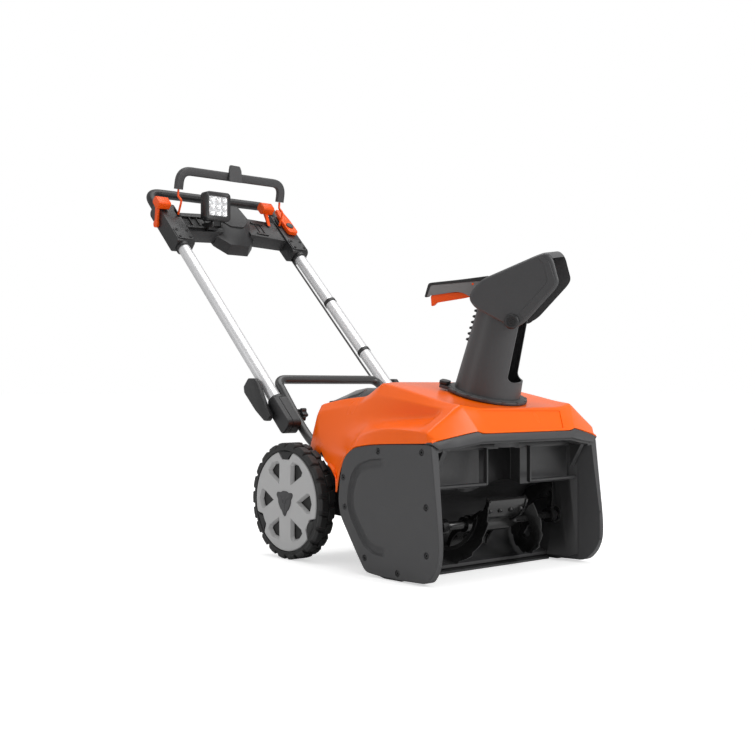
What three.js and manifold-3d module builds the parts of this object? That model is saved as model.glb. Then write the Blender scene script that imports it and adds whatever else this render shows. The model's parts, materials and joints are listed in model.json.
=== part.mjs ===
// Battery snow blower, single stage, 560 mm over the side plates.
// Millimetres, +Z up. The intake faces -Y and the handle rises towards +Y.
// The object is laid out from the scraper edge (y = 0) and shifted as a whole at the end,
// so that the exported group stands on z = 0 with its bounding box centred on the origin.

import * as THREE from 'three';
import Module from 'manifold-3d';
import { mergeVertices } from 'three/addons/utils/BufferGeometryUtils.js';

const wasm = await Module();
wasm.setup();

// ---------- driving dimensions ----------
const FRAME_SHIFT_Y = -473.55;
const GAP = 0.4;

const HALF_WIDTH = 280;
const PLATE_DEPTH = 30;
const PLATE_SKIN = 6;
const PLATE_INNER = HALF_WIDTH - PLATE_DEPTH;

const AUGER = { y: -20, z: 112, radius: 88, drum: 97, shaft: 10 };
const CHEEK_INNER = 242;
const THROAT_HALF = 70;
const PULLEY_X = 253;
const PULLEY_WIDTH = 12;
const AUGER_PULLEY_R = 42;
const MOTOR = { y: 108, z: 214, radius: 42, pulley: 16 };

const WHEEL = { y: 418, radius: 145.6, cover: 125.5, outer: 268, inner: 219, axle: 8 };

const FOLD = { y: 497, z: 359, incline: THREE.MathUtils.degToRad(43.9) };
const LEG_X = 177;
const BAR_R = 12;
const TUBE_X = 211;
const TUBE_R = 17.5;
const TUBE_TOP = 712;
const LOOP_X = 226;
const LOOP_R = 14;

const RING = {
  y: -18, z: 411, outer: 96, tilt: THREE.MathUtils.degToRad(15), turn: THREE.MathUtils.degToRad(30),
};
const CHUTE = { base: 79, top: 65, wall: 4, lean: 6, height: 236 };
const PIVOT = { forward: 42, up: 193 };

// ---------- materials ----------
const paint = (color, roughness, metalness) => (
  new THREE.MeshStandardMaterial({ color, roughness, metalness })
);
const plastic = (color, roughness) => paint(color, roughness, 0);
const metal = (color, roughness) => paint(color, roughness, 0.9);
const ORANGE = plastic(0xf2590f, 0.3);
const ORANGE_TRIM = plastic(0xf0521a, 0.45);
const GREY = plastic(0x484848, 0.7);
const BLACK = plastic(0x202020, 0.65);
const GRIP_GREY = plastic(0x7c7c7c, 0.6);
const SMOKED = plastic(0x2c2c2e, 0.15);
const RUBBER = plastic(0x141414, 0.85);
const SILVER = plastic(0xa8a8a8, 0.4);
const ALUMINIUM = metal(0xc8c8ca, 0.35);
const STEEL = metal(0x8a8a8c, 0.4);
const BLACK_STEEL = metal(0x1c1c1c, 0.5);
const LENS = plastic(0xe8ecee, 0.1);

// ---------- geometry helpers ----------
const v3 = (x, y, z) => new THREE.Vector3(x, y, z);
const TAU = Math.PI * 2;

function signedVolume(geometry) {
  const p = geometry.attributes.position;
  const index = geometry.index;
  const [a, b, c] = [v3(), v3(), v3()];
  let volume = 0;
  for (let i = 0; i < index.count; i += 3) {
    a.fromBufferAttribute(p, index.getX(i));
    b.fromBufferAttribute(p, index.getX(i + 1));
    c.fromBufferAttribute(p, index.getX(i + 2));
    volume += a.dot(b.cross(c)) / 6;
  }
  return volume;
}

// Position-only, merged and facing out.
function clean(geometry) {
  const bare = new THREE.BufferGeometry();
  bare.setAttribute('position', geometry.attributes.position.clone());
  if (geometry.index) bare.setIndex(geometry.index.clone());
  const merged = mergeVertices(bare, 1e-3);
  if (signedVolume(merged) < 0) {
    const index = merged.index;
    for (let i = 0; i < index.count; i += 3) {
      const keep = index.getX(i);
      index.setX(i, index.getX(i + 2));
      index.setX(i + 2, keep);
    }
  }
  return merged;
}

function solid(geometry) {
  const merged = clean(geometry);
  return new wasm.Manifold(new wasm.Mesh({
    numProp: 3,
    vertProperties: new Float32Array(merged.attributes.position.array),
    triVerts: new Uint32Array(merged.index.array),
  }));
}

function geometryOf(manifold) {
  const mesh = manifold.getMesh();
  const geometry = new THREE.BufferGeometry();
  geometry.setAttribute('position', new THREE.BufferAttribute(new Float32Array(mesh.vertProperties), 3));
  geometry.setIndex(new THREE.BufferAttribute(new Uint32Array(mesh.triVerts), 1));
  return geometry;
}

function join(...geometries) {
  return geometryOf(geometries.map(solid).reduce((sum, next) => sum.add(next)));
}

function cut(geometry, ...tools) {
  return geometryOf(tools.map(solid).reduce((rest, tool) => rest.subtract(tool), solid(geometry)));
}

// Cut away the neighbours, each swollen by a running gap along the axes.
function clearOf(geometry, ...neighbours) {
  const shifts = [[GAP, 0, 0], [-GAP, 0, 0], [0, GAP, 0], [0, -GAP, 0], [0, 0, GAP], [0, 0, -GAP]];
  const tools = neighbours.flatMap((tool) => shifts.map(([x, y, z]) => tool.clone().translate(x, y, z)));
  return cut(geometry, ...tools);
}

function block(x0, x1, y0, y1, z0, z1) {
  const box = new THREE.BoxGeometry(x1 - x0, y1 - y0, z1 - z0);
  return box.translate((x0 + x1) / 2, (y0 + y1) / 2, (z0 + z1) / 2);
}

const shapeOf = (points) => new THREE.Shape(points.map(([a, b]) => new THREE.Vector2(a, b)));

function prism(shape, depth, curveSegments = 4) {
  return new THREE.ExtrudeGeometry(shape, { depth, bevelEnabled: false, curveSegments });
}

// A (y, z) outline swept from x0 to x1.
function prismX(outline, x0, x1) {
  const shape = Array.isArray(outline) ? shapeOf(outline) : outline;
  const turn = new THREE.Matrix4().makeBasis(v3(0, 1, 0), v3(0, 0, 1), v3(1, 0, 0));
  return prism(shape, x1 - x0).applyMatrix4(turn).translate(x0, 0, 0);
}

// An (x, y) outline swept from z0 to z1.
function prismZ(outline, z0, z1) {
  const shape = Array.isArray(outline) ? shapeOf(outline) : outline;
  return prism(shape, z1 - z0).translate(0, 0, z0);
}

// An (x, z) outline swept from y0 to y1.
function prismY(outline, y0, y1) {
  const shape = Array.isArray(outline) ? shapeOf(outline) : outline;
  return prism(shape, y1 - y0).rotateX(Math.PI / 2).translate(0, y1, 0);
}

function circle(radius, sides = 32, cx = 0, cy = 0) {
  return Array.from({ length: sides }, (_, i) => {
    const angle = (i / sides) * TAU;
    return [cx + radius * Math.cos(angle), cy + radius * Math.sin(angle)];
  });
}

const cylinderX = (radius, x0, x1, y, z, sides = 32) => prismX(circle(radius, sides, y, z), x0, x1);
const cylinderZ = (radius, z0, z1, x, y, sides = 32) => prismZ(circle(radius, sides, x, y), z0, z1);

function roundedRect(x0, x1, y0, y1, radius) {
  const shape = new THREE.Shape();
  shape.moveTo(x0 + radius, y0);
  shape.lineTo(x1 - radius, y0);
  shape.absarc(x1 - radius, y0 + radius, radius, -Math.PI / 2, 0);
  shape.absarc(x1 - radius, y1 - radius, radius, 0, Math.PI / 2);
  shape.absarc(x0 + radius, y1 - radius, radius, Math.PI / 2, Math.PI);
  shape.absarc(x0 + radius, y0 + radius, radius, Math.PI, 1.5 * Math.PI);
  return shape;
}

// Points of an outline moved inwards by a distance (outline drawn counter-clockwise).
function inset(points, distance) {
  const n = points.length;
  return points.map((point, i) => {
    const [ax, ay] = points[(i + n - 1) % n];
    const [bx, by] = points[(i + 1) % n];
    const before = new THREE.Vector2(point[0] - ax, point[1] - ay).normalize();
    const after = new THREE.Vector2(bx - point[0], by - point[1]).normalize();
    const normal = new THREE.Vector2(-(before.y + after.y), before.x + after.x);
    const scale = distance / Math.max(0.3, normal.length() / 2) / normal.length();
    return [point[0] + normal.x * scale, point[1] + normal.y * scale];
  });
}

// A straight path with rounded corners.
function bentPath(points, radius) {
  const path = new THREE.CurvePath();
  let from = points[0];
  for (let i = 1; i < points.length - 1; i += 1) {
    const corner = points[i];
    const entry = corner.clone().add(points[i - 1].clone().sub(corner).setLength(radius));
    const exit = corner.clone().add(points[i + 1].clone().sub(corner).setLength(radius));
    path.add(new THREE.LineCurve3(from, entry));
    path.add(new THREE.QuadraticBezierCurve3(entry, corner, exit));
    from = exit;
  }
  path.add(new THREE.LineCurve3(from, points[points.length - 1]));
  return path;
}

function sweep(curve, section, steps) {
  return new THREE.ExtrudeGeometry(shapeOf(section), { steps, extrudePath: curve, bevelEnabled: false });
}

// Closed rings of points joined into one solid, with fan caps.
function loft(rings) {
  const n = rings[0].length;
  const positions = rings.flat().flatMap((p) => [p.x, p.y, p.z]);
  const index = [];
  for (let r = 0; r < rings.length - 1; r += 1) {
    for (let i = 0; i < n; i += 1) {
      const [a, b] = [r * n + i, r * n + ((i + 1) % n)];
      index.push(a, b, a + n, b, b + n, a + n);
    }
  }
  const cap = (ring, start, flip) => {
    const centre = ring.reduce((sum, p) => sum.add(p), v3(0, 0, 0)).divideScalar(n);
    const hub = positions.length / 3;
    positions.push(centre.x, centre.y, centre.z);
    for (let i = 0; i < n; i += 1) {
      const [a, b] = [start + i, start + ((i + 1) % n)];
      index.push(...(flip ? [hub, b, a] : [hub, a, b]));
    }
  };
  cap(rings[0], 0, true);
  cap(rings[rings.length - 1], (rings.length - 1) * n, false);
  const geometry = new THREE.BufferGeometry();
  geometry.setAttribute('position', new THREE.Float32BufferAttribute(positions, 3));
  geometry.setIndex(index);
  return geometry;
}

// A revolved profile of [radius, x] points that closes on itself, about the X axis.
function latheX(profile, segments = 32) {
  const points = [...profile, profile[0]].map(([r, x]) => new THREE.Vector2(r, x));
  return new THREE.LatheGeometry(points, segments).rotateZ(-Math.PI / 2);
}

// ---------- scene graph ----------
const machine = new THREE.Group();
machine.position.y = FRAME_SHIFT_Y;

function add(name, geometry, material, parent = machine) {
  const mesh = new THREE.Mesh(clean(geometry), material);
  mesh.name = name;
  parent.add(mesh);
  return mesh;
}

const SIDES = [['right', -1], ['left', 1]];
const FLIP = new THREE.Matrix4().makeScale(-1, 1, 1);
const mirrorX = (geometry, side) => (side > 0 ? geometry : geometry.clone().applyMatrix4(FLIP));

// ---------- side plates ----------
// Outline in (y, z), counter-clockwise seen from +X.
const PLATE_OUTLINE = [
  [-105, 6], [-23, 4], [47, 5], [62, 6], [98, 9], [128, 48], [160, 92], [186, 128], [194, 160],
  [193, 185], [187, 225], [177, 261], [160, 279], [136, 291], [90, 298], [20, 303], [-60, 306],
  [-108, 307], [-121, 305], [-130, 227], [-142, 130], [-145, 90], [-143, 58], [-130, 30],
];

// Mouth of the intake: half width against y. It opens towards the front, plates included.
const FLARE = [[-190, 272], [-142, 266], [-60, 241]];
const flare = () => loft(FLARE.map(([y, half]) => (
  [v3(-half, y, -10), v3(half, y, -10), v3(half, y, 288), v3(-half, y, 288)]
)));

function sidePlate(side) {
  const dish = cut(
    prismX(PLATE_OUTLINE, PLATE_INNER, HALF_WIDTH),
    prismX(inset(PLATE_OUTLINE, 14), PLATE_INNER - 1, HALF_WIDTH - PLATE_SKIN),
    flare(),
  );
  return mirrorX(dish, side);
}
const plates = SIDES.map(([label, side]) => add(`side_plate_${label}`, sidePlate(side), GREY).geometry);

// ---------- auger housing ----------
// Drum behind the rotor, cheeks at both ends, wall over the rotor and a throat up to the chute.
function augerHousing() {
  const { y, z, drum } = AUGER;
  const outside = shapeOf([
    [-118, 30], [-128, 100], [-122, 200], [-126, 304], [60, 290], [95, 240], [95, 190], [86, 60],
    [60, 22], [20, 11], [-2, 11], [-60, 12],
  ]);
  const arc = Array.from({ length: 25 }, (_, i) => {
    const angle = THREE.MathUtils.degToRad(-75 + (i / 24) * 195);
    return [y + drum * Math.cos(angle), z + drum * Math.sin(angle)];
  });
  const drumSpace = shapeOf([[-200, -10], [0, -10], ...arc, [-200, 196]]);
  const frontSpace = shapeOf([[-200, 150], [-82, 150], [-82, 310], [-200, 310]]);
  const throat = cylinderZ(THROAT_HALF, z, 400, 0, RING.y, 40);
  const shaftHole = cylinderX(20.5, -300, 300, y, z, 32);
  return cut(
    prismX(outside, -(PLATE_INNER - GAP), PLATE_INNER - GAP),
    prismX(drumSpace, -CHEEK_INNER, CHEEK_INNER),
    prismX(frontSpace, -CHEEK_INNER, CHEEK_INNER),
    throat,
    flare(),
    shaftHole,
    block(-THROAT_HALF, THROAT_HALF, -200, y - 10, z, 286),
  );
}
const housing = add('auger_housing', augerHousing(), GREY).geometry;

// ---------- fascia ----------
// Strip over the intake: [x, front y, low z, high z], one side only.
const FASCIA = [
  [0, -152, 311, 328], [151, -152, 311, 328], [163, -150, 309, 333], [215, -139, 301, 324],
  [262, -128, 296, 314], [HALF_WIDTH, -123, 308, 312],
];

function fascia() {
  const stations = [...FASCIA.slice(1).reverse().map(([x, ...rest]) => [-x, ...rest]), ...FASCIA];
  return loft(stations.map(([x, front, low, high]) => (
    [v3(x, front, low), v3(x, front + 22, low), v3(x, front + 22, high - 1), v3(x, front + 2, high - 1)]
  )));
}
const strip = add('fascia', clearOf(fascia(), housing, ...plates), GREY).geometry;

// ---------- hood ----------
// Rows run from the front edge over the top to the rear edge; each lists one half, centre line to side.
const HOOD_ROWS = [
  [[0, -152, 329], [120, -152, 329], [151, -152, 329], [163, -149, 334], [215, -138, 325], [262, -127, 316],
    [279, -122, 313]],
  [[0, -129, 382], [118, -129, 382], [141, -128, 382], [186, -116, 391], [196, -114, 383], [282, -109, 331],
    [280, -106, 309]],
  [[0, -40, 402], [118, -40, 402], [140, -40, 402], [190, -32, 404], [206, -32, 370], [278, -32, 338],
    [280, -27, 306]],
  [[0, 60, 428], [118, 60, 428], [136, 62, 428], [182, 68, 424], [205, 66, 366], [272, 60, 336],
    [280, 60, 302]],
  [[0, 165, 443], [110, 165, 443], [130, 166, 443], [165, 168, 440], [206, 165, 352], [264, 140, 316],
    [280, 137, 293]],
  [[0, 222, 412], [110, 222, 412], [130, 223, 410], [163, 228, 407], [208, 225, 342], [264, 185, 272],
    [280, 179, 263]],
  [[0, 320, 402], [110, 320, 402], [130, 320, 402], [165, 318, 401], [206, 300, 325], [258, 212, 238],
    [280, 196, 226]],
  [[0, 412, 386], [110, 410, 386], [130, 408, 386], [170, 396, 386], [200, 376, 320], [254, 224, 205],
    [280, 204, 184]],
  [[0, 438, 300], [110, 436, 300], [130, 434, 300], [176, 424, 300], [203, 402, 276], [246, 250, 236],
    [272, 212, 186]],
  [[0, 428, 272], [110, 427, 272], [130, 426, 272], [176, 418, 272], [200, 400, 272], [240, 254, 232],
    [266, 214, 188]],
];
const HOOD_WALL = 4;

function hoodShell() {
  const outer = HOOD_ROWS.map((row) => {
    const half = row.map(([x, y, z]) => v3(x, y, z));
    return [...half.slice(1).reverse().map((p) => v3(-p.x, p.y, p.z)), ...half];
  });
  const [rows, columns] = [outer.length, outer[0].length];
  const at = (r, c) => outer[Math.min(rows - 1, Math.max(0, r))][Math.min(columns - 1, Math.max(0, c))];
  const inner = outer.map((row, r) => row.map((p, c) => {
    const along = at(r + 1, c).clone().sub(at(r - 1, c));
    const across = at(r, c + 1).clone().sub(at(r, c - 1));
    const normal = across.cross(along).normalize();
    return p.clone().addScaledVector(normal, -HOOD_WALL);
  }));
  const points = [...outer.flat(), ...inner.flat()];
  const offset = rows * columns;
  const index = [];
  const quad = (a, b, c, d) => index.push(a, b, c, a, c, d);
  for (let r = 0; r < rows - 1; r += 1) {
    for (let c = 0; c < columns - 1; c += 1) {
      const a = r * columns + c;
      quad(a, a + 1, a + columns + 1, a + columns);
      quad(offset + a, offset + a + columns, offset + a + columns + 1, offset + a + 1);
    }
  }
  const rim = [];
  for (let c = 0; c < columns - 1; c += 1) rim.push(c);
  for (let r = 0; r < rows - 1; r += 1) rim.push(r * columns + columns - 1);
  for (let c = columns - 1; c > 0; c -= 1) rim.push((rows - 1) * columns + c);
  for (let r = rows - 1; r > 0; r -= 1) rim.push(r * columns);
  rim.forEach((a, i) => {
    const b = rim[(i + 1) % rim.length];
    quad(a, offset + a, offset + b, b);
  });
  const geometry = new THREE.BufferGeometry();
  const flat = points.flatMap((p) => [p.x, p.y, p.z]);
  geometry.setAttribute('position', new THREE.Float32BufferAttribute(flat, 3));
  geometry.setIndex(index);
  return geometry;
}

const chuteFrame = new THREE.Matrix4().makeTranslation(0, RING.y, RING.z)
  .multiply(new THREE.Matrix4().makeRotationX(RING.tilt));
const chuteTurned = chuteFrame.clone().multiply(new THREE.Matrix4().makeRotationZ(RING.turn));
const BAY = { half: 150, front: 236, rear: 402 };

function hood() {
  const ringHole = cylinderZ(86, -60, 20, 0, 0, 32).applyMatrix4(chuteFrame);
  const bayHole = prismZ(roundedRect(-BAY.half, BAY.half, BAY.front - 1.5, BAY.rear - 8, 6), 330, 480);
  const legHoles = SIDES.map(([, side]) => block(side * LEG_X - 17, side * LEG_X + 17, 380, 460, 255, 308));
  const arches = SIDES.map(([, side]) => mirrorX(
    cylinderX(WHEEL.radius + 6, WHEEL.inner - 5, HALF_WIDTH + 20, WHEEL.y, WHEEL.radius, 48), side,
  ));
  return cut(hoodShell(), ringHole, bayHole, ...legHoles, ...arches);
}

// ---------- scraper and skids ----------
const SCRAPER = [[-4, 0], [2, 0], [26, 10], [30, 14], [-4, 5]];
add('scraper_bar', clearOf(prismX(SCRAPER, -CHEEK_INNER + 1, CHEEK_INNER - 1), housing), BLACK_STEEL);

function skid(side) {
  const outline = [[-18, 0.4], [40, 0.4], [56, 3.6], [-22, 3.2]];
  return mirrorX(prismX(outline, PLATE_INNER + 6, HALF_WIDTH - 8), side);
}
for (const [label, side] of SIDES) add(`skid_${label}`, skid(side), BLACK);

// ---------- chassis ----------
const CHASSIS = { half: 196, front: 92, rear: 372, floor: 108, top: 234, tail: 190 };

function chassis() {
  const tub = cut(
    prismX([
      [CHASSIS.front, 130], [150, CHASSIS.floor], [CHASSIS.rear, 118],
      [CHASSIS.rear, CHASSIS.top], [CHASSIS.front, CHASSIS.top],
    ], -CHASSIS.half, CHASSIS.half),
    prismX([
      [CHASSIS.front + 5, 134], [152, 113], [CHASSIS.rear - 5, 123],
      [CHASSIS.rear - 5, 300], [CHASSIS.front + 5, 300],
    ], -CHASSIS.half + 5, CHASSIS.half - 5),
  );
  const tail = prismX([
    [CHASSIS.rear - 3, 118], [430, 118], [444, 130], [444, 164], [430, 178], [CHASSIS.rear - 3, 226],
  ], -CHASSIS.tail, CHASSIS.tail);
  const foot = block(166, 193, 300, 366, CHASSIS.top - 30, CHASSIS.top);
  const feet = SIDES.map(([, side]) => mirrorX(foot, side));
  const whole = join(tub, tail, ...feet);
  return clearOf(cut(whole, cylinderX(WHEEL.axle + 0.3, -300, 300, WHEEL.y, WHEEL.radius, 24)), housing);
}
const chassisGeometry = add('chassis', chassis(), BLACK).geometry;

const axleEnd = WHEEL.outer - 14;
add('wheel_axle', cylinderX(WHEEL.axle, -axleEnd, axleEnd, WHEEL.y, WHEEL.radius, 24), STEEL);

// ---------- wheels ----------
function wheelBody() {
  const { outer, inner, radius, cover } = WHEEL;
  const tread = latheX([
    [WHEEL.axle + 0.4, inner + 6], [112, inner + 8], [124, inner], [radius - 6, inner], [radius, inner + 7],
    [radius, outer - 12], [radius - 5, outer - 3], [cover + 4, outer], [cover, outer - 9.6],
    [WHEEL.axle + 0.4, outer - 10],
  ], 36);
  return tread.translate(0, WHEEL.y, WHEEL.radius);
}

// Silver cover: a disc with six tapered windows and three notches in its rim.
function wheelCover() {
  const shape = new THREE.Shape();
  shape.absarc(0, 0, WHEEL.cover - 1, 0, TAU);
  for (let k = 0; k < 6; k += 1) {
    const angle = (k * TAU) / 6;
    const corner = (r, a) => new THREE.Vector2(r * Math.cos(angle + a), r * Math.sin(angle + a));
    shape.holes.push(new THREE.Path([corner(45, 0), corner(97, 0.27), corner(102, 0), corner(97, -0.27)]));
  }
  const notch = (k) => {
    const angle = Math.PI / 2 + (k * TAU) / 3;
    const reach = WHEEL.cover + 3;
    return cylinderZ(17, -1, 10, reach * Math.cos(angle), reach * Math.sin(angle), 20);
  };
  const disc = prism(shape, 8, 24);
  const bore = cylinderZ(24, -1, 20, 0, 0, 32);
  const turn = new THREE.Matrix4().makeBasis(v3(0, 1, 0), v3(0, 0, 1), v3(1, 0, 0));
  const ring = cut(disc, bore, notch(0), notch(1), notch(2)).applyMatrix4(turn);
  return ring.translate(WHEEL.outer - 9, WHEEL.y, WHEEL.radius);
}

// Three-lobed cap over the axle nut.
function hubCap() {
  const outline = Array.from({ length: 48 }, (_, i) => {
    const angle = (i / 48) * TAU;
    const r = 19 + 4.5 * Math.max(0, Math.cos(3 * (angle - Math.PI / 6))) ** 2;
    return [WHEEL.y + r * Math.cos(angle), WHEEL.radius + r * Math.sin(angle)];
  });
  return prismX(outline, WHEEL.outer - 9.4, WHEEL.outer + 2);
}
for (const [label, side] of SIDES) {
  add(`wheel_${label}`, mirrorX(wheelBody(), side), RUBBER);
  add(`wheel_cover_${label}`, mirrorX(wheelCover(), side), SILVER);
  add(`hub_cap_${label}`, mirrorX(hubCap(), side), GREY);
}

// ---------- rotor, bearings and belt drive ----------
const rotorAt = (geometry) => geometry.translate(0, AUGER.y, AUGER.z);
const SHAFT_LEFT = PULLEY_X + PULLEY_WIDTH + 3;
add('auger_shaft', cylinderX(AUGER.shaft, -(CHEEK_INNER + 6), SHAFT_LEFT, AUGER.y, AUGER.z, 24), STEEL);
for (const [label, side] of SIDES) {
  const ring = latheX([[AUGER.shaft + 0.3, 243], [20, 243], [20, 249], [AUGER.shaft + 0.3, 249]], 32);
  add(`auger_bearing_${label}`, rotorAt(mirrorX(ring, side)), STEEL);
}

const PADDLE_HALF = 66;
// Two curved throwing blades on a hub, opposite each other.
function augerPaddle() {
  const bore = AUGER.shaft + 0.3;
  const hub = latheX([[bore, -PADDLE_HALF], [20, -PADDLE_HALF], [20, PADDLE_HALF], [bore, PADDLE_HALF]], 24);
  const blade = (turn) => {
    const edge = (shift) => Array.from({ length: 7 }, (_, i) => {
      const r = 16 + (i / 6) * (AUGER.radius - 16);
      const angle = turn - 0.35 * (i / 6) ** 2;
      return [r * Math.cos(angle) - shift * Math.sin(angle), r * Math.sin(angle) + shift * Math.cos(angle)];
    });
    return prismX([...edge(-3.5), ...edge(3.5).reverse()], -PADDLE_HALF, PADDLE_HALF);
  };
  return join(hub, blade(2.75), blade(2.75 + Math.PI));
}
add('auger_paddle', rotorAt(augerPaddle()), RUBBER);

// Helical ribbon with a hub at its outer end and two arms that carry it.
function augerFlight() {
  const [start, end, turns] = [PADDLE_HALF + 2, CHEEK_INNER - 6, 0.85];
  const steps = 26;
  const rings = Array.from({ length: steps + 1 }, (_, i) => {
    const part = i / steps;
    const angle = 2.6 + part * turns * TAU;
    const x = start + 6 + part * (end - start - 12);
    const tooth = i % 3 === 0 ? 5 : 0;
    const at = (r, dx) => v3(x + dx, r * Math.cos(angle), r * Math.sin(angle));
    return [at(56, -5), at(AUGER.radius - tooth, -3), at(AUGER.radius - tooth, 3), at(56, 5)];
  });
  const bore = AUGER.shaft + 0.3;
  const collar = (x0, x1) => latheX([[bore, x0], [18, x0], [18, x1], [bore, x1]], 24);
  const arm = (angle, x0, x1) => prismX([[14, -6], [62, -6], [62, 6], [14, 6]], x0, x1).rotateX(angle);
  return join(
    loft(rings), collar(end - 14, end), collar(start, start + 14),
    arm(2.6 + turns * TAU, end - 14, end - 2), arm(2.6, start + 2, start + 14),
  );
}
add('auger_flight_left', rotorAt(augerFlight()), RUBBER);
add('auger_flight_right', rotorAt(mirrorX(augerFlight(), -1)), RUBBER);

const pulley = (radius, bore, x0, x1) => latheX([
  [bore, x0], [radius + 4, x0], [radius + 4, x0 + 2], [radius, x0 + 3],
  [radius, x1 - 3], [radius + 4, x1 - 2], [radius + 4, x1], [bore, x1],
], 24);
const rotorPulley = pulley(AUGER_PULLEY_R, AUGER.shaft + 0.3, PULLEY_X, PULLEY_X + PULLEY_WIDTH);
add('auger_pulley', rotorAt(rotorPulley), STEEL);
add('motor_pulley', join(
  pulley(MOTOR.pulley, 0, PULLEY_X, PULLEY_X + PULLEY_WIDTH),
  cylinderX(6, 236, PULLEY_X + 1, 0, 0, 20),
).translate(0, MOTOR.y, MOTOR.z), STEEL);

// Flat belt round both pulleys: tangents outside the two circles.
function beltOutline(extra) {
  const span = Math.hypot(MOTOR.y - AUGER.y, MOTOR.z - AUGER.z);
  const line = Math.atan2(MOTOR.z - AUGER.z, MOTOR.y - AUGER.y);
  const open = Math.acos((AUGER_PULLEY_R - MOTOR.pulley) / span);
  const arc = (cy, cz, r, from, to) => Array.from({ length: 17 }, (_, i) => {
    const angle = from + (i / 16) * (to - from);
    return [cy + r * Math.cos(angle), cz + r * Math.sin(angle)];
  });
  return [
    ...arc(AUGER.y, AUGER.z, AUGER_PULLEY_R + extra, line + open, line + TAU - open),
    ...arc(MOTOR.y, MOTOR.z, MOTOR.pulley + extra, line - open, line + open),
  ];
}
add('drive_belt', cut(
  prismX(beltOutline(3), PULLEY_X + 3.6, PULLEY_X + PULLEY_WIDTH - 3.6),
  prismX(beltOutline(0.6), PULLEY_X, PULLEY_X + PULLEY_WIDTH),
), RUBBER);

function motor() {
  const can = cylinderX(MOTOR.radius, 120, 228, MOTOR.y, MOTOR.z, 40);
  const nose = cylinderX(16, 226, 235, MOTOR.y, MOTOR.z, 28);
  return join(can, nose);
}
const motorGeometry = add('motor', clearOf(motor(), housing, chassisGeometry), STEEL).geometry;
add('motor_controller', clearOf(block(-150, 60, 110, 190, 245, 285), housing, motorGeometry), BLACK);

// ---------- batteries and lid ----------
for (const [label, side] of SIDES) {
  const pack = prismZ(roundedRect(side * 70 - 55, side * 70 + 55, 250, 352, 10), CHASSIS.top + 6, 378);
  add(`battery_${label}`, pack, BLACK);
}

function batteryLid() {
  const half = BAY.half - 2;
  const [front, rear] = [BAY.front + 2, BAY.rear - 10];
  const rise = [
    [front, 404, 424], [front + 40, 402, 430], [320, 398, 424], [rear - 20, 394, 408], [rear, 392, 398],
  ];
  const rings = rise.map(([y, low, high]) => [
    v3(-half, y, low - 4), v3(half, y, low - 4), v3(half, y, low + 2), v3(half * 0.8, y, high - 2),
    v3(0, y, high), v3(-half * 0.8, y, high - 2), v3(-half, y, low + 2),
  ]);
  const hollow = rise.slice(1, -1).map(([y, low, high], i) => {
    const edge = y + [-20, 0, 12][i];
    return [
      v3(-half + 8, edge, low - 30), v3(half - 8, edge, low - 30), v3(half - 8, edge, low - 1),
      v3(0, edge, high - 6), v3(-half + 8, edge, low - 1),
    ];
  });
  return cut(loft(rings), loft(hollow));
}
const lid = add('battery_lid', batteryLid(), SMOKED).geometry;
add('hood', clearOf(hood(), strip, housing, chassisGeometry, lid, ...plates), ORANGE);


// ---------- lower handle bar ----------
const LEG = [[335, 247], [425, 288], [474, 332], [580, 450]];

function lowerBar() {
  const leg = (side) => LEG.map(([y, z]) => v3(side * LEG_X, y, z));
  const path = bentPath([...leg(-1), ...leg(1).reverse()], 30);
  const bar = sweep(path, circle(BAR_R, 10), 46);
  return cut(bar, cylinderX(5.4, -300, 300, FOLD.y, FOLD.z, 16));
}
add('lower_handle_bar', lowerBar(), BLACK_STEEL);

// ---------- handle, built in a frame (x, u along the tubes, w normal to them) ----------
const handleFrame = new THREE.Matrix4().makeTranslation(0, FOLD.y, FOLD.z)
  .multiply(new THREE.Matrix4().makeRotationX(FOLD.incline));
const onHandle = (geometry) => geometry.applyMatrix4(handleFrame);
const END = { inner: 178, outer: 237, low: 688, high: 872, under: -24, over: 26 };
const CLAMP = { inner: 191, outer: 235, low: -52, high: 50, under: -23, over: 22 };

const tubeBore = (radius, u0, u1) => prismY(circle(radius, 20, TUBE_X, 0), u0, u1);

function clampBlock() {
  const profile = roundedRect(CLAMP.low, CLAMP.high, CLAMP.under, CLAMP.over, 12);
  const body = prismX(profile, CLAMP.inner, CLAMP.outer);
  return cut(body, tubeBore(TUBE_R + 0.4, 18, 100), cylinderX(5.4, 100, 300, 0, 0, 20));
}

function starKnob() {
  const lobes = Array.from({ length: 40 }, (_, i) => {
    const angle = (i / 40) * TAU;
    const r = 15 + 3 * Math.cos(5 * angle);
    return [r * Math.cos(angle), r * Math.sin(angle)];
  });
  return join(prismX(lobes, 147, 163), cylinderX(5, 160, CLAMP.outer - 1, 0, 0, 20));
}

function camLever() {
  const outline = [
    [4, -8], [3, -26], [14, -36], [60, -44], [128, -46],
    [142, -36], [142, -6], [122, 13], [104, 12], [44, -4],
  ];
  return prismX(outline, CLAMP.outer + 3, CLAMP.outer + 18);
}
for (const [label, side] of SIDES) {
  add(`handle_tube_${label}`, onHandle(mirrorX(tubeBore(TUBE_R, 20, TUBE_TOP), side)), ALUMINIUM);
  add(`clamp_block_${label}`, onHandle(mirrorX(clampBlock(), side)), BLACK);
  add(`star_knob_${label}`, onHandle(mirrorX(starKnob(), side)), BLACK);
  add(`cam_lever_${label}`, onHandle(mirrorX(camLever(), side)), BLACK);
}

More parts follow.
